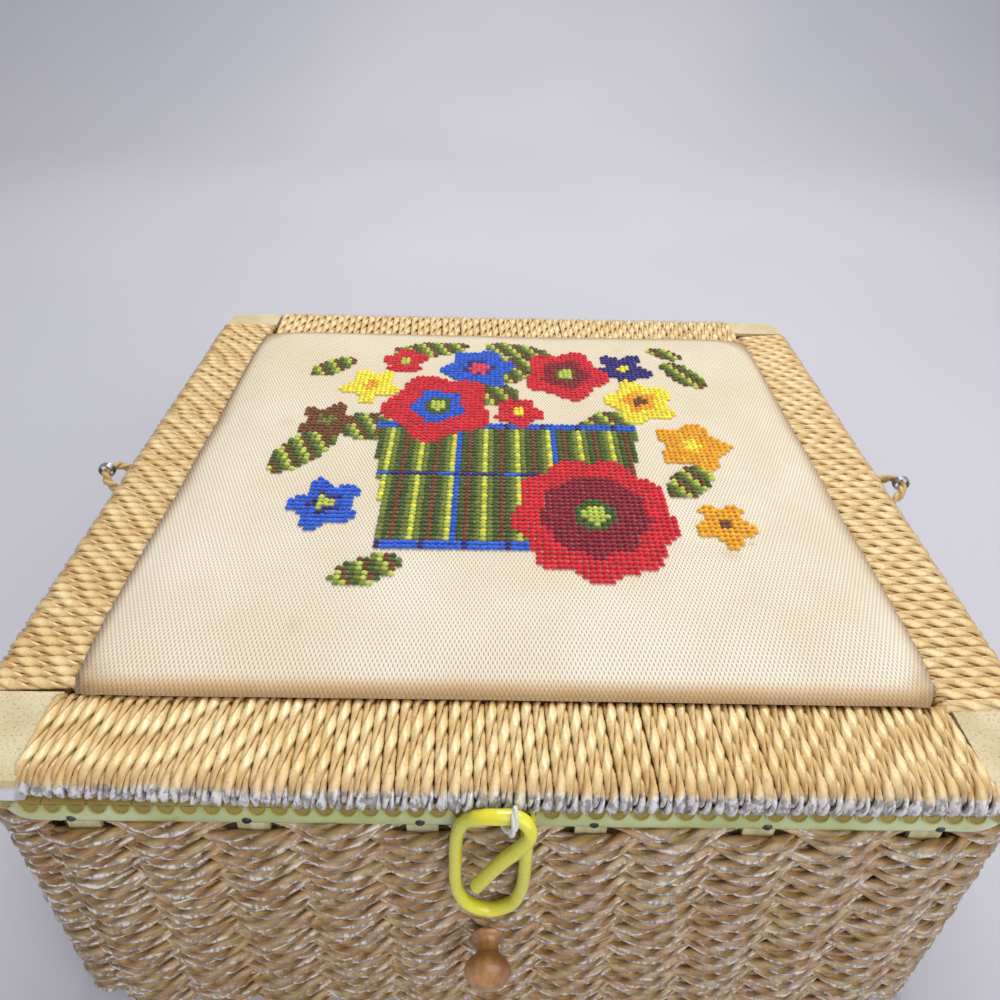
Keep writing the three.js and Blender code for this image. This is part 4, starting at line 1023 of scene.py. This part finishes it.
def basket_lining():
    """Quilted floor and walls, with a gathered lip folded out over the hoop."""
    count, pitch, depth = 640, 40.0, 1.9
    floor, inner, lip_foot = 8.3, -7.2, BODY_TOP - 3
    lip = ((inner + 0.3, 1.4), (inner + 1.2, 0.4), (inner + 2.4, 0.05), (-2.6, 0.05), (-0.2, 0.1), (0.5, 0.3),
           (0.6, 0.8), (0.5, 3))
    flat, normals, _, total = outline(count)
    around = np.arange(count) / count * total
    rings = []
    for share in np.linspace(0.001, 1, 60):
        ring = (flat + inner * normals) * share
        puff = quilt(ring[:, 0], ring[:, 1], pitch, depth) * min(1, (1 - share) * 14)
        rings.append(np.column_stack([ring, floor + puff - 0.4]))
    for height in np.linspace(floor + 0.4, lip_foot, 56):
        fade = max(0, min(1, (height - floor) / 8, (lip_foot - height) / 5))
        grow = inner + 0.4 - fade * quilt(around, height, total / 27, depth)
        rings.append(np.column_stack([flat + grow[:, None] * normals, np.full(count, height)]))
    for grow, drop in lip:
        pleats = 0.12 * np.abs(np.sin(around * 2.4)) * (grow < 0)
        rings.append(np.column_stack([flat + grow * normals, BODY_TOP - drop - pleats]))
    points, faces = loft(rings)
    piece = make_mesh("basket_lining_cloth", (points, faces[:, ::-1]), LINING, "basket",
                      ["basket_lining", "lining_floor"])


basket_lining()


def lid_lining():
    """Quilted pad under the lid's frame, with rolled edges."""
    half_x, half_y, radius, count = 142.1, 112.7, 14, 420
    top, bottom, turn_in = LID_BOTTOM - 0.35, LID_BOTTOM - 3.5, 2.6
    profile = [(0.001, 1, top, 0), (0.6, 1, top, 0), (1, 0.9, top, 0), (1, 0.3, top - 0.5, 0),
               (1, 0.05, top - 1.3, 0), (1, 0.4, bottom + 0.9, 0), (1, 1.4, bottom + 0.3, 0),
               (1, turn_in, bottom, 0)]
    profile += [(share, turn_in, bottom + 0.3, min(1, (1 - share) * 12))
                for share in np.linspace(0.985, 0.001, 60)]
    rings = []
    for share, inset, height, puffed in profile:
        ring = rounded_rectangle(half_x - inset, half_y - inset, radius, count)
        ring[:, :2] *= share
        ring[:, 2] = height - puffed * quilt(ring[:, 0], ring[:, 1], 40, 1.5)
        rings.append(ring)
    piece = make_mesh("lid_lining_cloth", loft(rings), LINING, "lid", ["lid_lining"])


lid_lining()


# ---- Knob and ears ----

def knob():
    """Turned knob: a flared foot, a neck and a round head."""
    foot, neck, head, radius = 1.6, 3.4, 9.0, 7.5
    place = [-4.8, -STAKE_Y - 5.0, 66]
    profile = [(0.1, 0), (5.2, 0), (5.6, 0.4), (5.55, 0.95), (4.6, foot), (3.7, foot + 0.7),
               (3.45, foot + 1.8), (3.7, foot + neck - 0.5)]
    for angle in np.linspace(0.55 - math.pi / 2, math.pi / 2 - 0.05, 15):
        profile.append((radius * math.cos(angle), foot + neck + head / 2 * (1 + math.sin(angle))))
    profile.append((0.1, foot + neck + head))
    turned = lathe(profile, 40, [0, -1, 0], place)
    make_mesh("knob_turned", turned, KNOB, "basket", ["front_knob"])


knob()

# From an ear's foot to near its tip: shares of its reach, its gap and its rise
EAR_SHARES = [[-0.04, 1, -0.58], [0.12, 1, -0.35], [0.5, 1.05, 0.2], [0.85, 0.8, 0.75]]


def ear(side, word):
    """A cord loop at one side of the rim and the three turns of steel wire at its tip."""
    low = BODY_TOP - 5.2
    half = {sign: [[side * (EAR_FOOT + EAR_REACH * reach), EAR_Y + sign * EAR_GAP * gap,
                    low + EAR_RISE * rise] for reach, gap, rise in EAR_SHARES] for sign in (-1, 1)}
    tip = [side * (EAR_FOOT + EAR_REACH), EAR_Y, low + EAR_RISE]
    line = spline(half[-1] + [tip] + half[1][::-1], 90)
    middle = np.array([side * (EAR_FOOT + 8), EAR_Y, low + 2])
    cord = two_ply(line, line - middle, 9.0, 1.12, 0.82, sides=10)
    make_mesh("ear_twist_" + word, cord, EAR, "basket", ["ear_loop_" + word])
    wire, radius, turns, sides = 0.42, 3.2, 32, 8
    around = round_angles(turns)
    outward = np.column_stack([np.cos(around), np.zeros(turns), np.sin(around)])
    section = wire * np.exp(1j * round_angles(sides))
    coil = np.array(tip) + (radius + section.real[None, :, None]) * outward[:, None, :]
    coil[:, :, 1] += section.imag
    points, faces = loft(coil, closed_rings=True)
    loops = [(points + np.array([0, shift, 0]), faces) for shift in (-0.7, 0.0, 0.7)]
    make_mesh("ear_ring_" + word, join(loops), CLIP, "basket", ["ear_clip_" + word])


ear(-1, "left")
ear(1, "right")


# ---- Finishes of the CAD nodes that stay ----

DRESS = {"corner_cover": CORNER, "hinge": STEEL, "base_board": BASE, "stake_cage": STAKE,
         "lid_frame": FRAME_WOOD, "panel_board": CARD}
for node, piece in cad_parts.items():
    for start, material in DRESS.items():
        if node.startswith(start):
            piece.data.materials.clear()
            piece.data.materials.append(material)


# ---- Floor and light ----

def stage_floor():
    """Pale floor that turns up into a backdrop far behind."""
    n = Nodes("stage_pale", roughness=0.95, specular=0.1)
    material = n.finish(n.mix(n.patches(2.0, 2.0), (196, 195, 201), (190, 190, 197)))
    front, back, radius, half_width, high = -2600, 900, 500, 3200, 2600
    profile = [(front, 0), (back, 0)]
    profile += [(back + radius * math.sin(a), radius - radius * math.cos(a))
                for a in np.linspace(0.1, math.pi / 2, 14)]
    profile += [(back + radius, high)]
    points = [[x * MM, y * MM, (z - 0.2) * MM] for y, z in profile for x in (-half_width, half_width)]
    faces = [[2 * k, 2 * k + 1, 2 * k + 3, 2 * k + 2] for k in range(len(profile) - 1)]
    mesh = bpy.data.meshes.new("stage_floor")
    mesh.from_pydata(points, [], faces)
    mesh.materials.append(material)
    mesh.shade_smooth()
    add_object("stage_floor", mesh)


stage_floor()


def lamp(name, place, target, size, energy, colour):
    """A square soft lamp aimed at a target; places are metres."""
    data = bpy.data.lights.new(name, "AREA")
    data.shape = "SQUARE"
    data.size = size
    data.energy = energy
    data.color = colour
    light = add_object(name, data)
    light.location = place
    light.rotation_mode = "QUATERNION"
    light.rotation_quaternion = (Vector(target) - Vector(place)).to_track_quat("-Z", "Y")


lamp("key", (0.1, 0.75, 1.25), (0, 0, 0.14), 0.8, 14.2, (1.0, 0.98, 0.93))
lamp("fill", (0.5, -0.9, 0.8), (0, 0, 0.1), 1.2, 9, (0.97, 0.97, 1.0))
world = bpy.data.worlds.new("soft_room")
bpy.context.scene.world = world
world.use_nodes = True
sky = world.node_tree.nodes["Background"]
sky.inputs["Color"].default_value = (0.87, 0.89, 0.98, 1.0)
sky.inputs["Strength"].default_value = 0.55
bpy.context.scene.view_settings.view_transform = "Standard"
